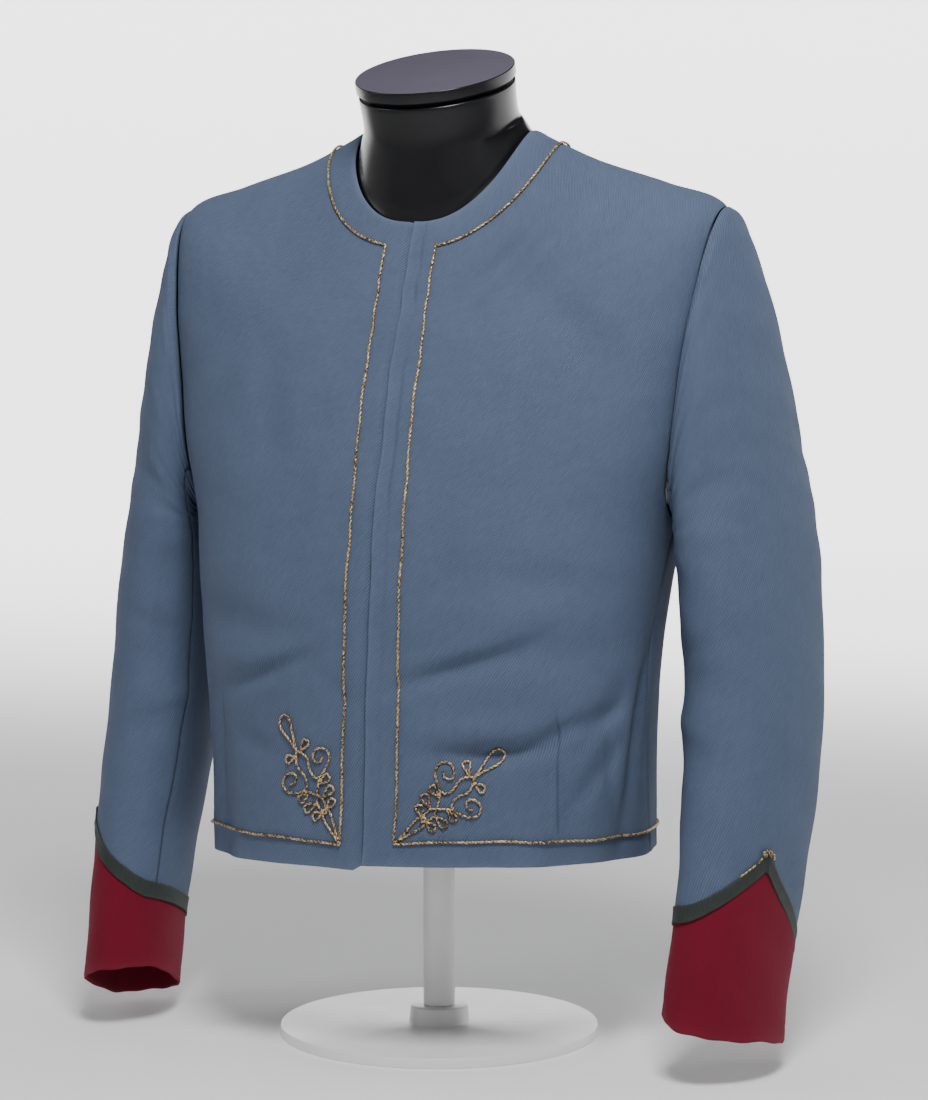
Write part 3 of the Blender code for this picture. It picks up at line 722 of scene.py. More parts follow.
# The right front, sunk where it runs on under the left one.
def makeFrontRight():
    places = panelPlaces()
    starts, ends = anglesAtX(fronts["edgeX"] + fronts["lap"], places), -sideAngles(places, True)
    angles, distances = anglesAlong(starts, ends, places, fronts["columns"] + 6, dartX=fronts["dartX"])
    outer, inner, uv, wearAndPaintedShade = panelSkins(angles, distances, places, (False, True), True)
    normals = bodyNormals(angles, places[:, None])
    edge = wanderingEdge(places)[:, None]
    sunk = smoothStep((outer[..., 0] - edge + fronts["lapStart"]) / fronts["lapRun"]) * fronts["lapDepth"]
    drop = hemDrop("right", distances, places[:, None]) * smoothStep((edge - outer[..., 0] - 0.001) / 0.007)
    shift = normals * sunk[..., None] + np.array([0, 0, 1]) * drop[..., None]
    outer = outer - shift
    inner = inner - shift
    uv[..., 0] *= -1
    return addSheet("front_right_cloth", outer, inner, uv, wearAndPaintedShade, wool, flip=True)


def makeBack():
    places = panelPlaces()
    ends = sideAngles(places, False)
    angles, distances = anglesAlong(ends, 2 * pi - ends, places, 150, startEdge=False)
    outer, inner, uv, wearAndPaintedShade = panelSkins(angles, distances, places, (True, True), False)
    return addSheet("back_cloth", outer, inner, uv, wearAndPaintedShade, wool)


# Hides the CAD solids that a cloth piece stands for.
def declareCloth(nodes):
    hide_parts(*nodes)


frontLeft, frontRight, back = makeFrontLeft(), makeFrontRight(), makeBack()
declareCloth(["front_left"])
declareCloth(["front_right"])
declareCloth(["back"])
print("stage: body of the jacket made")

sleeves = {
    "capEnd": 9,  # rings from the armhole to the elbow, and to the wrist
    "armEnd": 11,
    "capSpacing": 1.15,
    "capRows": 96,
    "armRows": 52,
    "wristRows": 40,
    "frontSeam": 0.375,  # as shares of the way round, from the outer side
    "hindSeam": 2 / 3,
    "seamLine": (0.0008, 0.0022),  # depth and width
    "cuffRows": 46,
    "cuffPeak": 0.1265,
    "cuffLow": {"left": 0.0745, "right": 0.0610},
    "cuffSpan": {"left": radians(80), "right": radians(102)},  # half the angle that the cuff's point takes
    "cuffCurve": 1.6,
    "peakShare": 22 / 360,
}


# The column of a sleeve or cuff at this share of the way round.
def columnAt(share, count):
    return int(round(share * count))


# The armhole, from the shoulder down its front edge and up its hind one.
def armholeRing(side):
    places = armholePlaces()
    down = bodyPoints(side * sideAngles(places[::-1], True), places[::-1])
    up = bodyPoints(side * sideAngles(places, False), places)[1:-1]
    return np.concatenate((down, up))


# All rings of one sleeve, from the armhole to the end of the cuff.
def sleeveRings(side):
    count = fineness["sleeveColumns"]
    angles = np.arange(count) * 2 * pi / count
    power = 2 / ovalPower
    outward = signedPower(np.cos(angles), power)[:, None]
    forward = signedPower(np.sin(angles), power)[:, None]
    start = armholeRing(side)
    rings = [start]
    for innerX, innerY, innerZ, outerX, outerY, outerZ, halfDepth, toe, share in capRings:
        inner = np.array([side * innerX, innerY, innerZ + hemHeight])
        outer = np.array([side * outerX, outerY, outerZ + hemHeight])
        ahead = np.array([-side * sin(radians(toe)), -cos(radians(toe)), 0])
        own = (inner + outer) / 2 + outward * (outer - inner) / 2 + forward * ahead * halfDepth
        rings.append(start * (1 - share) + own * share)
    for x, y, z, halfWidth, halfDepth, tilt, toe in armRings:
        tilt, toe = radians(tilt), radians(toe)
        across = np.array([side * cos(toe), -sin(toe), 0])
        ahead = np.array([-side * sin(toe) * cos(tilt), -cos(toe) * cos(tilt), sin(tilt)])
        middle = np.array([side * x, y, z + hemHeight])
        rings.append(middle + outward * across * halfWidth + forward * ahead * halfDepth)
    return np.array(rings)


# Where the cuff's pointed edge crosses each column, counted in rings.
def cuffPlaces(rings, word):
    reach = reachAlong(rings.mean(axis=1))
    count = rings.shape[1]
    angles = (np.arange(count) / count - sleeves["peakShare"]) * 2 * pi
    fromPeak = np.abs((angles + pi) % (2 * pi) - pi) / sleeves["cuffSpan"][word]
    low = sleeves["cuffLow"][word]
    height = low + (sleeves["cuffPeak"] - low) * np.clip(1 - fromPeak, 0, 1) ** sleeves["cuffCurve"]
    return np.interp(reach[-1] - height, reach, np.arange(len(reach)))


# Points and outward normals of the whole sleeve, and the row of the cuff's edge.
def sleeveGrid(word, side):
    rings = sleeveRings(side)
    columns = np.arange(rings.shape[1])
    edge = cuffPlaces(rings, word)
    even = np.ones(len(columns))
    capEnd, armEnd = sleeves["capEnd"], sleeves["armEnd"]
    capPlaces = capEnd * np.linspace(0, 1, sleeves["capRows"]) ** sleeves["capSpacing"]
    armPlaces = np.linspace(capEnd, armEnd, sleeves["armRows"])[1:]
    places = [even * place for place in np.concatenate((capPlaces, armPlaces))]
    places += [armEnd + (edge - armEnd) * k / sleeves["wristRows"] for k in range(1, sleeves["wristRows"] + 1)]
    cuffRow = len(places) - 1
    places += [edge + (lastRing - edge) * k / sleeves["cuffRows"] for k in range(1, sleeves["cuffRows"] + 1)]
    places = np.array(places)
    points = np.array([blendRows(rings, place)[columns, columns] for place in places])
    normals = gridNormals(points, side)
    degrees = columns * 360 / len(columns)
    for ring, middle, tall, wide, slope, depth in sleeveFolds:
        turn = (degrees - middle + 180) % 360 - 180
        lean = places - ring - turn * slope
        points = points - normals * (depth * bell(lean / tall) * bell(turn / wide))[..., None]
    turn = np.radians(degrees)
    wave = np.sin(places * 5.1 + turn * 2) * np.sin(turn * 3 + places * 1.7)
    points = points + normals * (wave * 0.0006 * smoothStep(places / 2))[..., None]
    return points, gridNormals(points, side), cuffRow


# The sleeve's skins, UVs, and wear with painted shade along its seams, with the roll beyond the armhole seam
# and the dips along its seams.
def sleeveSkins(points, normals, side):
    count = points.shape[1]
    fromTop, reach = reachAlong(points), reachAlong(points, 1)
    dip = seamDip(fromTop, 0.0009, 0.0020)
    # Painted shade along the armhole seam, and below it along the two sleeve seams.
    paintedSeamShade = 0.7 * bell(fromTop / 0.0016)
    top = np.cos(np.arange(count) * 2 * pi / count)
    roll = 0.0012 * bell((fromTop - 0.008) / 0.006) * smoothStep(top + 0.6)
    for seam in (sleeves["frontSeam"], sleeves["hindSeam"]):
        column = columnAt(seam, count)
        distance = reach - reach[:, column : column + 1]
        dip = dip + seamDip(distance, *sleeves["seamLine"])
        paintedSeamShade = paintedSeamShade + 0.7 * bell(distance / 0.0013)
    level = fromTop[sleeves["capRows"] - 1] - fromTop
    uv = np.stack([-reach * side, level], -1)
    outer = points + normals * (roll - dip)[..., None]
    inner = points - normals * cloth
    return outer, inner, uv, np.clip(0.3 * np.exp(-fromTop / 0.004) - paintedSeamShade, -1, 1)


# Moves the first and last columns in, so that sewn pieces keep a hair's gap.
def insetEnds(grid, amount):
    moved = grid.copy()
    for column, beside in ((0, 1), (-1, -2)):
        moved[:, column] += unit(grid[:, beside] - grid[:, column]) * amount
    return moved


# One sleeve cut into its two sewn pieces, with its cuff and ribbon.
def makeSleeve(word, side):
    points, normals, cuffRow = sleeveGrid(word, side)
    outer, inner, uv, wearAndPaintedShade = sleeveSkins(points, normals, side)
    count = points.shape[1]
    frontColumn, hindColumn = columnAt(sleeves["frontSeam"], count), columnAt(sleeves["hindSeam"], count)
    upper = [c % count for c in range(hindColumn, frontColumn + count + 1)]
    under = list(range(frontColumn, hindColumn + 1))
    girths = np.linalg.norm(np.roll(points, -1, axis=1) - points, axis=2).sum(axis=1)
    for piece, columns in (("upper", upper), ("under", under)):
        skins = []
        for skin in (outer, inner):
            cut = insetEnds(skin[: cuffRow + 1, columns], seamGap / 2)
            cut[0] += unit(cut[1] - cut[0]) * seamGap
            skins.append(cut)
        # The piece's wear, with the painted shade along its seams.
        flat, worn = uv[: cuffRow + 1, columns].copy(), wearAndPaintedShade[: cuffRow + 1, columns]
        if piece == "upper":
            behind = np.array(columns) >= hindColumn
            flat[:, behind, 0] += side * girths[: cuffRow + 1, None]
        addSheet(f"{piece}_sleeve_{word}_cloth", *skins, flat, worn, wool, flip=side < 0)
    declareCloth([f"upper_sleeve_{word}"])
    declareCloth([f"under_sleeve_{word}"])
    makeCuff(word, side, points[cuffRow:], normals[cuffRow:])
    makeRibbon(word, side, points, normals, cuffRow)
    return points, normals, cuffRow


cuffs = {
    "hemRound": 0.0012,
    "waves": ((3, 0.6, 0.0010), (5, 2.1, 0.0005), (11, 0, 0.0004)),  # times round the cuff, start and height
    "stitchUp": 0.012,
    # How far the end is raised at its outer, inner, front and hind sides.
    "endTilt": {"left": (-0.0045, 0.0090, -0.0130, 0.0100), "right": (-0.0085, 0.0010, 0.0005, -0.0005)},
    "flare": {"left": 0.0060, "right": 0.0020},
}


# The crimson cuff: its end turned in, a little wavy, with its seam behind.
def makeCuff(word, side, points, normals):
    count = points.shape[1]
    fromEnd, reach = reachAlong(points[::-1])[::-1], reachAlong(points, 1)
    angles = np.arange(count) * 2 * pi / count
    wave = sum(high * np.sin(angles * times + start) for times, start, high in cuffs["waves"])
    near = np.exp(-fromEnd / 0.012)
    outer, inner, ahead, behind = cuffs["endTilt"][word]
    tilt = (outer + inner) / 2 + (outer - inner) / 2 * np.cos(angles)
    tilt = tilt + np.where(np.sin(angles) > 0, ahead, -behind) * np.sin(angles)
    lifted = near * wave + np.exp(-fromEnd / 0.06) * tilt
    points = points + np.array([0, 0, 1]) * lifted[..., None]
    flare = cuffs["flare"][word] * np.exp(-fromEnd / 0.05) * np.clip(np.cos(angles), 0, 1)
    points = points + normals * flare[..., None]
    points = points + normals * (near * 0.0012 * np.sin(angles * 5 + 1.0))[..., None]
    dip = edgeRound(fromEnd, cuffs["hemRound"])
    inner = cloth - dip
    column = columnAt(sleeves["hindSeam"], count)
    dip = dip + seamDip(reach - reach[:, column : column + 1], *sleeves["seamLine"])
    dip = dip + seamDip(fromEnd - cuffs["stitchUp"], 0.0002, 0.0012)
    outer = points - normals * dip[..., None]
    innerSkin = points - normals * inner[..., None]
    outer[0] += unit(outer[1] - outer[0]) * seamGap / 2
    innerSkin[0] += unit(innerSkin[1] - innerSkin[0]) * seamGap / 2
    uv = np.stack([reach * side, fromEnd], -1)
    wearAndPaintedShade = np.exp(-fromEnd / 0.003)
    obj = addSheet(f"cuff_{word}_cloth", outer, innerSkin, uv, wearAndPaintedShade, crimson, flip=side < 0, tube=True)
    declareCloth([f"cuff_{word}"])


ribbons = {
    "width": 0.013,
    "thickness": 0.0007,
    "lift": 0.0003,
    "rows": 9,
    "edgeBead": 0.0002,
    "fold": 0.0012,
    "fray": 0.0003,
}


# The ribbon that follows the cuff's pointed edge, sewn flat along both its edges.
def makeRibbon(word, side, points, normals, cuffRow):
    edge, edgeNormals = points[cuffRow], normals[cuffRow]
    up = unit(points[cuffRow - 1] - edge)
    down = unit(points[cuffRow + 1] - edge)
    offsets = np.linspace(1, -1, ribbons["rows"]) * ribbons["width"] / 2
    base = np.array([edge + (up if o > 0 else down) * abs(o) for o in offsets])
    bead = ribbons["edgeBead"] * (np.abs(offsets) > ribbons["width"] * 0.35)
    reach = reachAlong(edge)
    peak = columnAt(sleeves["peakShare"], len(edge))
    past = reach[peak] - reach
    folded = ribbons["fold"] * (past > 0) * np.exp(-np.abs(past) / 0.020)
    fray = ribbons["fray"] * np.sin(reach * 900) * np.sin(reach * 390 + 1)
    base = base + up[None] * (fray[None, :] * (np.abs(offsets) > ribbons["width"] * 0.4)[:, None])[..., None]
    high = ribbons["lift"] + ribbons["thickness"] + bead[:, None] + folded[None, :]
    outer = base + edgeNormals * high[..., None]
    inner = base + edgeNormals * (ribbons["lift"] + 0.6 * folded)[None, :, None]
    uv = np.stack(np.broadcast_arrays(reach[None, :], offsets[:, None]), -1)
    wearAndPaintedShade = 0.6 * np.exp(-(ribbons["width"] / 2 - np.abs(offsets))[:, None] / 0.0015) + 0 * reach[None, :]
    obj = addSheet(f"ribbon_{word}_cloth", outer, inner, uv, wearAndPaintedShade, ribbonCloth, flip=side < 0, tube=True)
    declareCloth([f"ribbon_{word}"])


sleeveShapes = {"left": makeSleeve("left", 1), "right": makeSleeve("right", -1)}
print("stage: sleeves and cuffs made")

cords = {
    "radius": 0.00108,
    "lobes": 2,
    "lobeDepth": 0.50,
    "pitch": 0.0036,
    "step": 0.00045,
    "sides": 12,
    "fromEdge": {"left": (0.0262, 0.0235, 0.0205), "right": (0.0185, 0.0190, 0.0210)},
    "cornerDip": {"left": 0.050, "right": 0.075},
    "low": 0.035,
}


# The row of the cord along the hem, which dips towards the front corner.
def hemCordPlace(word, fromCorner):
    return hemBraid - cords["low"] - cords["cornerDip"][word] * np.exp(-fromCorner / 0.045)


# How far the cord lies from the front edge: at the hem, in the middle and at the neck.
def braidDistance(word, places):
    return np.interp(places, (hemBraid, 6, neckBraid), cords["fromEdge"][word])


# Twisted cords along runs of points with the cloth's normals, joined into one object.
def ropeMesh(name, runs, settings):
    allPoints, allFaces, allStrandShade = [], [], []
    for run, normals in runs:
        reach = reachAlong(run)
        wanted = np.arange(0, reach[-1], settings["step"])
        line = np.stack([np.interp(wanted, reach, run[:, i]) for i in range(3)], -1)
        up = unit(np.stack([np.interp(wanted, reach, normals[:, i]) for i in range(3)], -1))
        along = unit(np.gradient(line, axis=0))
        across = unit(np.cross(up, along))
        up = np.cross(along, across)
        radius = settings["radius"]
        centre = line + up * (radius * 0.9 + seamGap)
        turn = np.arange(settings["sides"]) * 2 * pi / settings["sides"]
        twist = wanted[:, None] / settings["pitch"] * 2 * pi / settings["lobes"]
        lobe = np.abs(np.sin((turn[None, :] - twist) * settings["lobes"] / 2))
        size = radius * (1 - settings["lobeDepth"] * (1 - lobe))
        ring = across[:, None] * np.cos(turn)[None, :, None] + up[:, None] * np.sin(turn)[None, :, None]
        points = centre[:, None] + ring * size[..., None]
        rows, sides = points.shape[:2]
        index = np.arange(rows * sides).reshape(rows, sides) + sum(len(p) for p in allPoints)
        wrap = np.concatenate((index, index[:, :1]), axis=1)
        quads = np.stack([wrap[:-1, :-1], wrap[:-1, 1:], wrap[1:, 1:], wrap[1:, :-1]], -1).reshape(-1, 4)
        allFaces += quads[:, ::-1].tolist() + [index[0].tolist(), index[-1][::-1].tolist()]
        allPoints.append(points.reshape(-1, 3))
        # Painted shade between the strands, strongest in the grooves between the lobes.
        allStrandShade.append((1 - lobe).reshape(-1) ** 2)
    obj = meshPiece(name, np.concatenate(allPoints), allFaces, gold, np.concatenate(allStrandShade))
    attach(obj, "root")
    return obj


# Angles on a front at this distance along its rows from the visible front edge.
def frontAngles(side, distance, places):
    places = np.atleast_1d(np.asarray(places, float))
    starts = np.atleast_1d(anglesAtX(fronts["edgeX"], places))
    fine = starts[:, None] + side * np.linspace(0, 1.2, 121)[None, :]
    reach = reachAlong(bodyPoints(fine, places[:, None]), 1)
    distance = np.broadcast_to(distance, places.shape)
    return np.array([np.interp(d, r, a) for d, r, a in zip(distance, reach, fine)])


# The cord from the centre back neck, round to the front, down it, and along the hem to the centre back.
def makeBraid(word, side):
    corner = float(hemCordPlace(word, 0.0))
    places = np.linspace(neckBraid, corner, 260)
    down = frontAngles(side, braidDistance(word, places), places)
    backNeck = np.linspace(side * (pi - 0.004), down[0], 90)[:-1]
    backHem = np.linspace(down[-1], side * (pi - 0.004), 260)[1:]
    away = bodyPoints(backHem, corner) - bodyPoints(down[-1:], corner)
    fromCorner = np.linalg.norm(away[:, :2], axis=1)
    angles = np.concatenate((backNeck, down, backHem))
    rows = np.concatenate((np.full(len(backNeck), neckBraid), places, hemCordPlace(word, fromCorner)))
    points = bodyPoints(angles, rows)
    normals = bodyNormals(angles, rows)
    points = points + normals * (hemWave(angles, rows) - dartDip(points) * 0.6)[:, None]
    sideways = np.abs(points[:, 0] - fronts["edgeX"])
    points[:, 2] -= hemDrop(word, sideways, rows) * (np.cos(angles) > 0)
    number = np.arange(len(points))
    wander = 0.00035 * np.sin(number * 0.23) + 0.0004 * np.sin(number * 0.083 + 1)
    across = unit(np.cross(normals, np.gradient(points, axis=0)))
    points = points + across * wander[:, None]
    obj = ropeMesh(f"braid_{word}_cord", [(points, normals)], cords)
    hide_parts(f"braid_{word}")


for word, side in (("left", 1), ("right", -1)):
    makeBraid(word, side)
print("stage: braid made")

tufts = {"radius": 0.0008, "loops": 4.5, "halfWidth": 0.0055, "loopSize": 0.0021, "up": 0.0080, "tail": 14}


# A little coil of gold cord over the cuff's peak, with its end along the ribbon.
def makeTuft(word):
    points, normals, cuffRow = sleeveShapes[word]
    peak = columnAt(sleeves["peakShare"], points.shape[1])
    middle, normal = points[cuffRow, peak], normals[cuffRow, peak]
    up = unit(points[cuffRow - 4, peak] - middle)
    across = unit(np.cross(up, normal))
    share = np.linspace(0, 1, 150)
    turn = 2 * pi * tufts["loops"] * share
    sideways = tufts["halfWidth"] * (2 * share - 1) + tufts["loopSize"] * np.sin(turn)
    higher = tufts["up"] - 0.0030 * (2 * share - 1) ** 2 + tufts["loopSize"] * 0.8 * np.cos(turn)
    out = 0.0012 + 0.0007 * np.sin(turn * 0.5) - sideways**2 / 0.08
    coil = middle + across * sideways[:, None] + up * higher[:, None] + normal * out[:, None]
    columns = np.arange(peak, peak + tufts["tail"])
    edge = points[cuffRow, columns]
    top = edge + unit(points[cuffRow - 1, columns] - edge) * (ribbons["width"] / 2 + 0.0006)
    run = [(coil, np.repeat(normal[None], len(coil), axis=0)), (top[2:], normals[cuffRow, columns][2:])]
    ropeMesh(f"tuft_{word}", run, {**cords, "radius": tufts["radius"]})


makeTuft("left")
print("stage: cuff tuft made")

scrolls = {
    "left": {"lean": 43.5, "side": 1},
    "right": {"lean": 60, "side": -1},
    "start": 0.001,
    "radius": 0.00098,
    "sway": 2.2,
    "spread": 1.28,
}
# Strands of the ornament in millimetres, along its axis and across it; each is also laid mirrored.
strands = (
    ((26, 0.2), (31, 1.9), (36, 2.5), (40, 1.1), (43.5, -1.1), (47.5, -3.5), (51.5, -7.2), (54, -12.4),
     (58.6, -17.6), (65, -18.7), (70, -14.8), (69, -9.8), (64.4, -8.0), (61.0, -11.2), (63.0, -14.6)),
    ((51.8, 7.0), (53.0, 4.2), (56.6, 2.8), (62, 2.7), (68, 4.2), (73, 3.6), (78.8, 0.4)),
)
# Petals: where each starts, its direction in degrees, length and half width.
petals = (
    (28.5, 1.0, 72, 8.6, 3.3),
    (37.5, 2.2, 78, 10.0, 3.6),
    (48.2, 4.0, 92, 8.8, 3.3),
    (76.5, 2.2, 66, 8.2, 3.2),
)
leaves = ((0.0, 0.0, 0, 30.0, 3.3), (79.0, 0.0, 0, 29.0, 4.6))


# A loop that starts and ends at its foot.
def petal(start, across, turn, length, width, count=48):
    share = np.linspace(0, 1, count)
    out = length * np.sin(pi * share) ** 0.85
    side = width * np.sin(2 * pi * share) * (0.35 + 0.65 * np.sin(pi * share) ** 0.7)
    c, s = cos(radians(turn)), sin(radians(turn))
    return np.stack([start + out * c - side * s, across + out * s + side * c], -1)


# The ornament's cords in metres, along its axis and across it.
def motif():
    runs = [petal(*leaf, 70) for leaf in leaves]
    for mirror in (1, -1):
        flip = np.array([1, mirror])
        half = [petal(*loop) for loop in petals]
        half += [blendRows(strand, np.linspace(0, len(strand) - 1, 12 * len(strand))) for strand in strands]
        runs += [run * flip for run in half]
    for run in runs:
        run[:, 0] += scrolls["sway"] * np.tanh(run[:, 1] / 9)
        run[:, 1] *= scrolls["spread"]
    return [run / 1000 for run in runs]


# The ornament laid on its front, its axis leaning away from the corner of the braid.
def makeScroll(word):
    side, lean = scrolls[word]["side"], radians(scrolls[word]["lean"])
    runs = []
    for run in motif():
        along, across = run[:, 0] + scrolls["start"], run[:, 1]
        out = along * cos(lean) - across * sin(lean)
        up = along * sin(lean) + across * cos(lean)
        places = float(hemCordPlace(word, 0.0)) + up / rowLength
        angles = frontAngles(side, braidDistance(word, hemBraid) + out, places)
        points, normals = bodyPoints(angles, places), bodyNormals(angles, places)
        points[:, 2] -= hemDrop(word, np.abs(points[:, 0] - fronts["edgeX"]), places)
        runs.append((points + normals * hemWave(angles, places)[:, None], normals))
    ropeMesh(f"scroll_{word}", runs, {**cords, "radius": scrolls["radius"]})


for word in ("left", "right"):
    makeScroll(word)
print("stage: scrolls made")

form = {
    "sides": 128,
    "bottom": 0.045,
    "neckFoot": (0.0077, 0.542),
    "lean": radians(19),
    "radius": 0.060,
    "capRadius": 0.0622,
    "capHeight": 0.009,
    "capUp": 0.0383,
    "bottomRow": 1.1,  # the cloth's row that the flat bottom follows; then the rings above it
    "lowest": 2,
    "highest": 11.8,
    "rings": 60,
    # Places counted in rows, and how far the form lies inside the cloth there.
    "easeRows": (2, 5, 8, 9, 9.5, 10, 12),
    "eases": (0.012, 0.008, 0.007, 0.0045, 0.003, 0.0016, 0.0016),
    "filletRings": 11,
    # Distances up the neck and the radius there, with the rim at its top.
    "neckRings": (
        (0.004, 0.061), (0.009, 0.0603), (0.014, 0.060), (0.022, 0.0603), (0.030, 0.0608), (0.0335, 0.0610),
        (0.0345, 0.0606), (0.0350, 0.0590), (0.0354, 0.0572), (0.0380, 0.0570),
    ),
}


# A ring round the leaning neck, this far up it.
def neckRing(radius, up):
    angles = np.arange(form["sides"]) * 2 * pi / form["sides"]
    y = form["neckFoot"][0] - up * sin(form["lean"])
    z = form["neckFoot"][1] + up * cos(form["lean"]) + hemHeight
    forward = -radius * np.cos(angles)
    y, z = y + forward * cos(form["lean"]), z + forward * sin(form["lean"])
    return np.stack([radius * np.sin(angles), y, z], -1)


# A ring of the form, inside the jacket by its cloth and this ease, and cut flat at the armholes.
def formRing(place, ease, height=None):
    angles = np.arange(form["sides"]) * 2 * pi / form["sides"]
    fromFront = np.minimum(angles, 2 * pi - angles)
    inward = cloth + ease + fronts["lapDepth"] * bell(fromFront / 0.4)
    ring = bodyPoints(angles, place) - bodyNormals(angles, place) * inward[:, None]
    limit = armholeX(ring[:, 2] - hemHeight) - 0.010
    ring[:, 0] = np.clip(ring[:, 0], -limit, limit)
    if height is not None:
        ring[:, 2] = height
    return ring


# Bevels the sharp edges of the piece just made.
def bevelSharp(width):
    bpy.ops.object.mode_set(mode="EDIT")
    bpy.ops.mesh.select_mode(type="EDGE")
    bpy.ops.mesh.select_all(action="DESELECT")
    bpy.ops.mesh.edges_select_sharp(sharpness=radians(40))
    bpy.ops.mesh.bevel(offset=width, segments=3, affect="EDGES")
    bpy.ops.object.mode_set(mode="OBJECT")


# Selects the flat end of the piece just made that faces up, and stays in edit mode.
def selectTop(obj):
    bpy.ops.object.mode_set(mode="EDIT")
    bpy.ops.mesh.select_mode(type="FACE")
    bpy.ops.mesh.select_all(action="DESELECT")
    bpy.ops.object.mode_set(mode="OBJECT")
    highest = max(polygon.center.z for polygon in obj.data.polygons)
    for polygon in obj.data.polygons:
        polygon.select = polygon.normal.z > 0.9 and polygon.center.z > highest - 0.00001
    bpy.ops.object.mode_set(mode="EDIT")


# Materials, smoothing and place for a hard piece, left at the origin with its shape where it is.
def finishHard(obj, materials, sharpAngle):
    obj.data.materials.clear()
    for material in materials:
        obj.data.materials.append(material)
    bpy.ops.object.shade_smooth_by_angle(angle=radians(sharpAngle))
    bpy.ops.object.transform_apply(location=True, rotation=True, scale=True)
    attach(obj, "root")


# The limbless form: rings inside the cloth, over the shoulders into the leaning neck, closed at both ends.
def makeForm():
    places = np.linspace(form["lowest"], form["highest"], form["rings"])
    eases = np.interp(places, form["easeRows"], form["eases"])
    rings = [formRing(form["bottomRow"], form["eases"][0], hemHeight + form["bottom"])]
    rings += [formRing(place, ease) for place, ease in zip(places, eases)]
    edge = formRing(neckRow, form["eases"][-1])
    foot = neckRing(form["radius"] + 0.001, 0.004)
    for share in np.linspace(0, 1, form["filletRings"] + 1)[:-1]:
        bend = share**0.55
        lift = np.array([0, 0, 0.002 * sin(pi * share)])
        rings.append(edge * (1 - bend) + foot * bend + lift)
    rings += [neckRing(radius, up) for up, radius in form["neckRings"]]
    rings = np.array(rings)
    rings = np.concatenate((rings, rings[:, :1]), axis=1)
    bpy.ops.object.select_all(action="DESELECT")
    bpy.ops.mesh.primitive_grid_add(x_subdivisions=form["sides"], y_subdivisions=len(rings) - 1, size=1)
    obj = bpy.context.object
    obj.name = "form_torso_gloss"
    obj.data.vertices.foreach_set("co", rings.reshape(-1))
    bpy.ops.object.mode_set(mode="EDIT")
    bpy.ops.mesh.select_all(action="SELECT")
    bpy.ops.mesh.remove_doubles(threshold=0.00001)
    bpy.ops.mesh.fill_holes(sides=0)
    bpy.ops.mesh.select_all(action="SELECT")
    bpy.ops.mesh.normals_make_consistent(inside=False)
    bpy.ops.object.mode_set(mode="OBJECT")
    finishHard(obj, [blackGloss], 80)
    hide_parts("form_torso")


# Adds a round piece about its own middle, leaning forward.
def addRound(name, sides, radius, depth, middle, lean=0.0):
    bpy.ops.object.select_all(action="DESELECT")
    bpy.ops.mesh.primitive_cylinder_add(
        vertices=sides, radius=radius, depth=depth, location=middle, rotation=(lean, 0, 0)
    )
    obj = bpy.context.object
    obj.name = name
    return obj


# The round cap: a disc with a bevelled rim, black at its side and grey on top.
def makeCap():
    up = form["capUp"] + form["capHeight"] / 2
    y, z = form["neckFoot"]
    middle = (0, y - up * sin(form["lean"]), z + up * cos(form["lean"]) + hemHeight)
    obj = addRound("neck_cap_disc", form["sides"], form["capRadius"], form["capHeight"], middle, form["lean"])
    bevelSharp(0.0010)
    finishHard(obj, [blackGloss, greyCap], 35)
    top = np.array([0, -sin(form["lean"]), cos(form["lean"])])
    for polygon in obj.data.polygons:
        polygon.material_index = int(np.array(polygon.normal) @ top > 0.9)
    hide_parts("neck_cap")


makeForm()
makeCap()
print("stage: form made")

stand = {
    "poleRadius": 0.0125,
    "flangeRadius": 0.045,
    "flangeHeight": 0.006,
    "baseRadius": 0.125,
    "baseHeight": 0.008,
    "bossRadius": 0.024,
    "bossHeight": 0.014,
    "sides": 96,
}


# The round base: a plate with a tapered boss drawn up from its middle.
def makeBase():
    middle = (0, 0, stand["baseHeight"] / 2)
    obj = addRound("stand_base_steel", stand["sides"], stand["baseRadius"], stand["baseHeight"], middle)
    selectTop(obj)
    bpy.ops.mesh.inset(thickness=stand["baseRadius"] - stand["bossRadius"], depth=0)
    bpy.ops.mesh.extrude_region_move(TRANSFORM_OT_translate={"value": (0, 0, stand["bossHeight"])})
    bpy.ops.transform.resize(value=(0.94, 0.94, 1))
    bevelSharp(0.0010)
    finishHard(obj, [whitePaint], 35)
    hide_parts("stand_base")


# The pole, widened at its top into the flange that carries the form.
def makePole():
    foot = stand["baseHeight"] + stand["bossHeight"] + seamGap
    flangeTop = hemHeight + form["bottom"] - seamGap
    length = flangeTop - stand["flangeHeight"] - foot
    obj = addRound("stand_pole_steel", stand["sides"], stand["poleRadius"], length, (0, 0, foot + length / 2))
    selectTop(obj)
    wider = stand["flangeRadius"] / stand["poleRadius"]
    bpy.ops.mesh.extrude_region_move(TRANSFORM_OT_translate={"value": (0, 0, 0)})
    bpy.ops.transform.resize(value=(wider, wider, 1))
    bpy.ops.mesh.extrude_region_move(TRANSFORM_OT_translate={"value": (0, 0, stand["flangeHeight"])})
    bevelSharp(0.0007)
    finishHard(obj, [whitePaint], 35)
    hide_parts("stand_pole")


makeBase()
makePole()
print("stage: stand made")

floor = {
    "radius": 5.0,
    "bend": 1.2,
    "top": 2.4,
    "sides": 48,
    "near": 0.08,
    "ahead": 0.04,
    "behind": 2.2,
    "rise": (0.4, 3.2),  # y from which the glow rises, and where it is full
    "reach": (0.4, 2.6),  # the same by distance from the middle
}


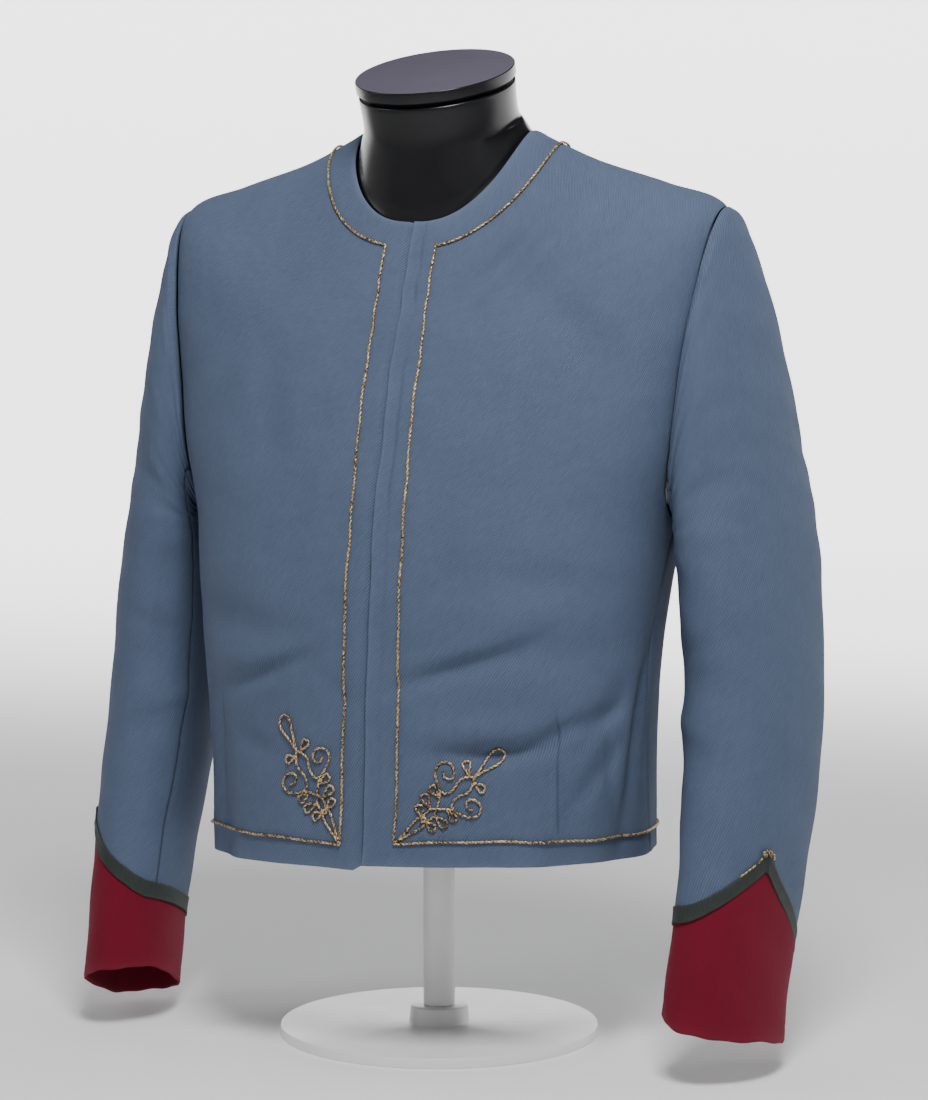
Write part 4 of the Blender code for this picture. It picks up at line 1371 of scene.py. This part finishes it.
# A smooth ramp from the first to the last value while the input crosses this range.
def rampNode(tree, value, between, first, last):
    inputs = {"Value": value, "From Min": between[0], "From Max": between[1], "To Min": first, "To Max": last}
    return node(tree, "ShaderNodeMapRange", inputs, interpolation_type="SMOOTHSTEP").outputs[0]


# A round pale floor that sweeps up into a wall all round and glows, faintly in front and brightly behind the
# object.
def makeFloor():
    turn = [radians(angle) for angle in range(0, 91, 6)]
    profile = [(floor["radius"] * share, 0) for share in (0.02, 0.3, 0.6)]
    profile += [(floor["radius"] + floor["bend"] * sin(a), floor["bend"] * (1 - cos(a))) for a in turn]
    profile += [(floor["radius"] + floor["bend"], floor["top"])]
    sides = floor["sides"]
    around = [(cos(2 * pi * k / sides), sin(2 * pi * k / sides)) for k in range(sides)]
    points = [(r * x, r * y, z) for r, z in profile for x, y in around]
    faces = [tuple(range(sides))]
    for ring in range(len(profile) - 1):
        for k in range(sides):
            a, b = ring * sides + k, ring * sides + (k + 1) % sides
            faces.append((a, a + sides, b + sides, b))
    material, tree, shader = newMaterial("pale floor")
    shader.inputs["Base Color"].default_value = (0.86, 0.86, 0.86, 1)
    shader.inputs["Roughness"].default_value = 0.9
    shader.inputs["Specular IOR Level"].default_value = 0.1
    shader.inputs["Emission Color"].default_value = (1, 1, 1, 1)
    place = node(tree, "ShaderNodeTexCoord").outputs["Object"]
    backward = node(tree, "ShaderNodeSeparateXYZ", {"Vector": place}).outputs["Y"]
    away = node(tree, "ShaderNodeVectorMath", {"Vector": place}, operation="LENGTH").outputs["Value"]
    side = rampNode(tree, backward, floor["rise"], floor["ahead"], floor["behind"])
    glow = calc(tree, "MULTIPLY_ADD", rampNode(tree, away, floor["reach"], 0.0, 1.0), side, floor["near"])
    tree.links.new(glow, shader.inputs["Emission Strength"])
    meshPiece("floor", np.array(points), faces, material)


camera = {
    "azimuth": 23.0,
    "elevation": 5.0,
    "distance": 2.6,
    "focalPixels": 3333.0,  # in pixels of the photograph, 1100 high
    "aside": 0.0195,
    "up": 0.2165,
}
lights = (
    {"name": "key", "place": (0.58, -1.00, 1.82), "size": 0.55, "power": 39},
    {"name": "left", "place": (-1.9, -1.1, 1.5), "size": 0.8, "power": 7.5},
    {"name": "right", "place": (2.0, -0.9, 1.3), "size": 0.8, "power": 0.5},
    {"name": "top", "place": (0.0, 0.5, 2.2), "size": 1.0, "power": 8},
)
worldGlow = 0.04


def aimAt(obj, target):
    direction = np.array(target) - np.array(obj.location)
    obj.rotation_mode = "QUATERNION"
    obj.rotation_quaternion = Vector(direction.tolist()).to_track_quat("-Z", "Y")


def makeCamera():
    a, e = radians(camera["azimuth"]), radians(camera["elevation"])
    right = np.array([cos(a), sin(a), 0])
    backward = np.array([sin(a) * cos(e), -cos(a) * cos(e), sin(e)])
    target = right * camera["aside"] + np.array([0, 0, hemHeight + camera["up"]])
    data = bpy.data.cameras.new("camera")
    data.sensor_width = 36
    data.lens = camera["focalPixels"] / 1100 * 36
    data.clip_start, data.clip_end = 0.05, 60
    obj = bpy.data.objects.new("camera", data)
    bpy.context.scene.collection.objects.link(obj)
    obj.location = (target + backward * camera["distance"]).tolist()
    aimAt(obj, target)
    bpy.context.scene.camera = obj


def makeLights():
    for light in lights:
        data = bpy.data.lights.new(light["name"], "AREA")
        data.shape = "SQUARE"
        data.size = light["size"]
        data.energy = light["power"]
        obj = bpy.data.objects.new(light["name"], data)
        bpy.context.scene.collection.objects.link(obj)
        obj.location = light["place"]
        aimAt(obj, (0, 0, hemHeight + 0.28))
    world = bpy.data.worlds.new("studio")
    bpy.context.scene.world = world
    world.use_nodes = True
    background = world.node_tree.nodes["Background"]
    background.inputs[0].default_value = (1, 1, 1, 1)
    background.inputs[1].default_value = worldGlow


makeFloor()
makeCamera()
makeLights()
print("stage: floor, camera and lights made")
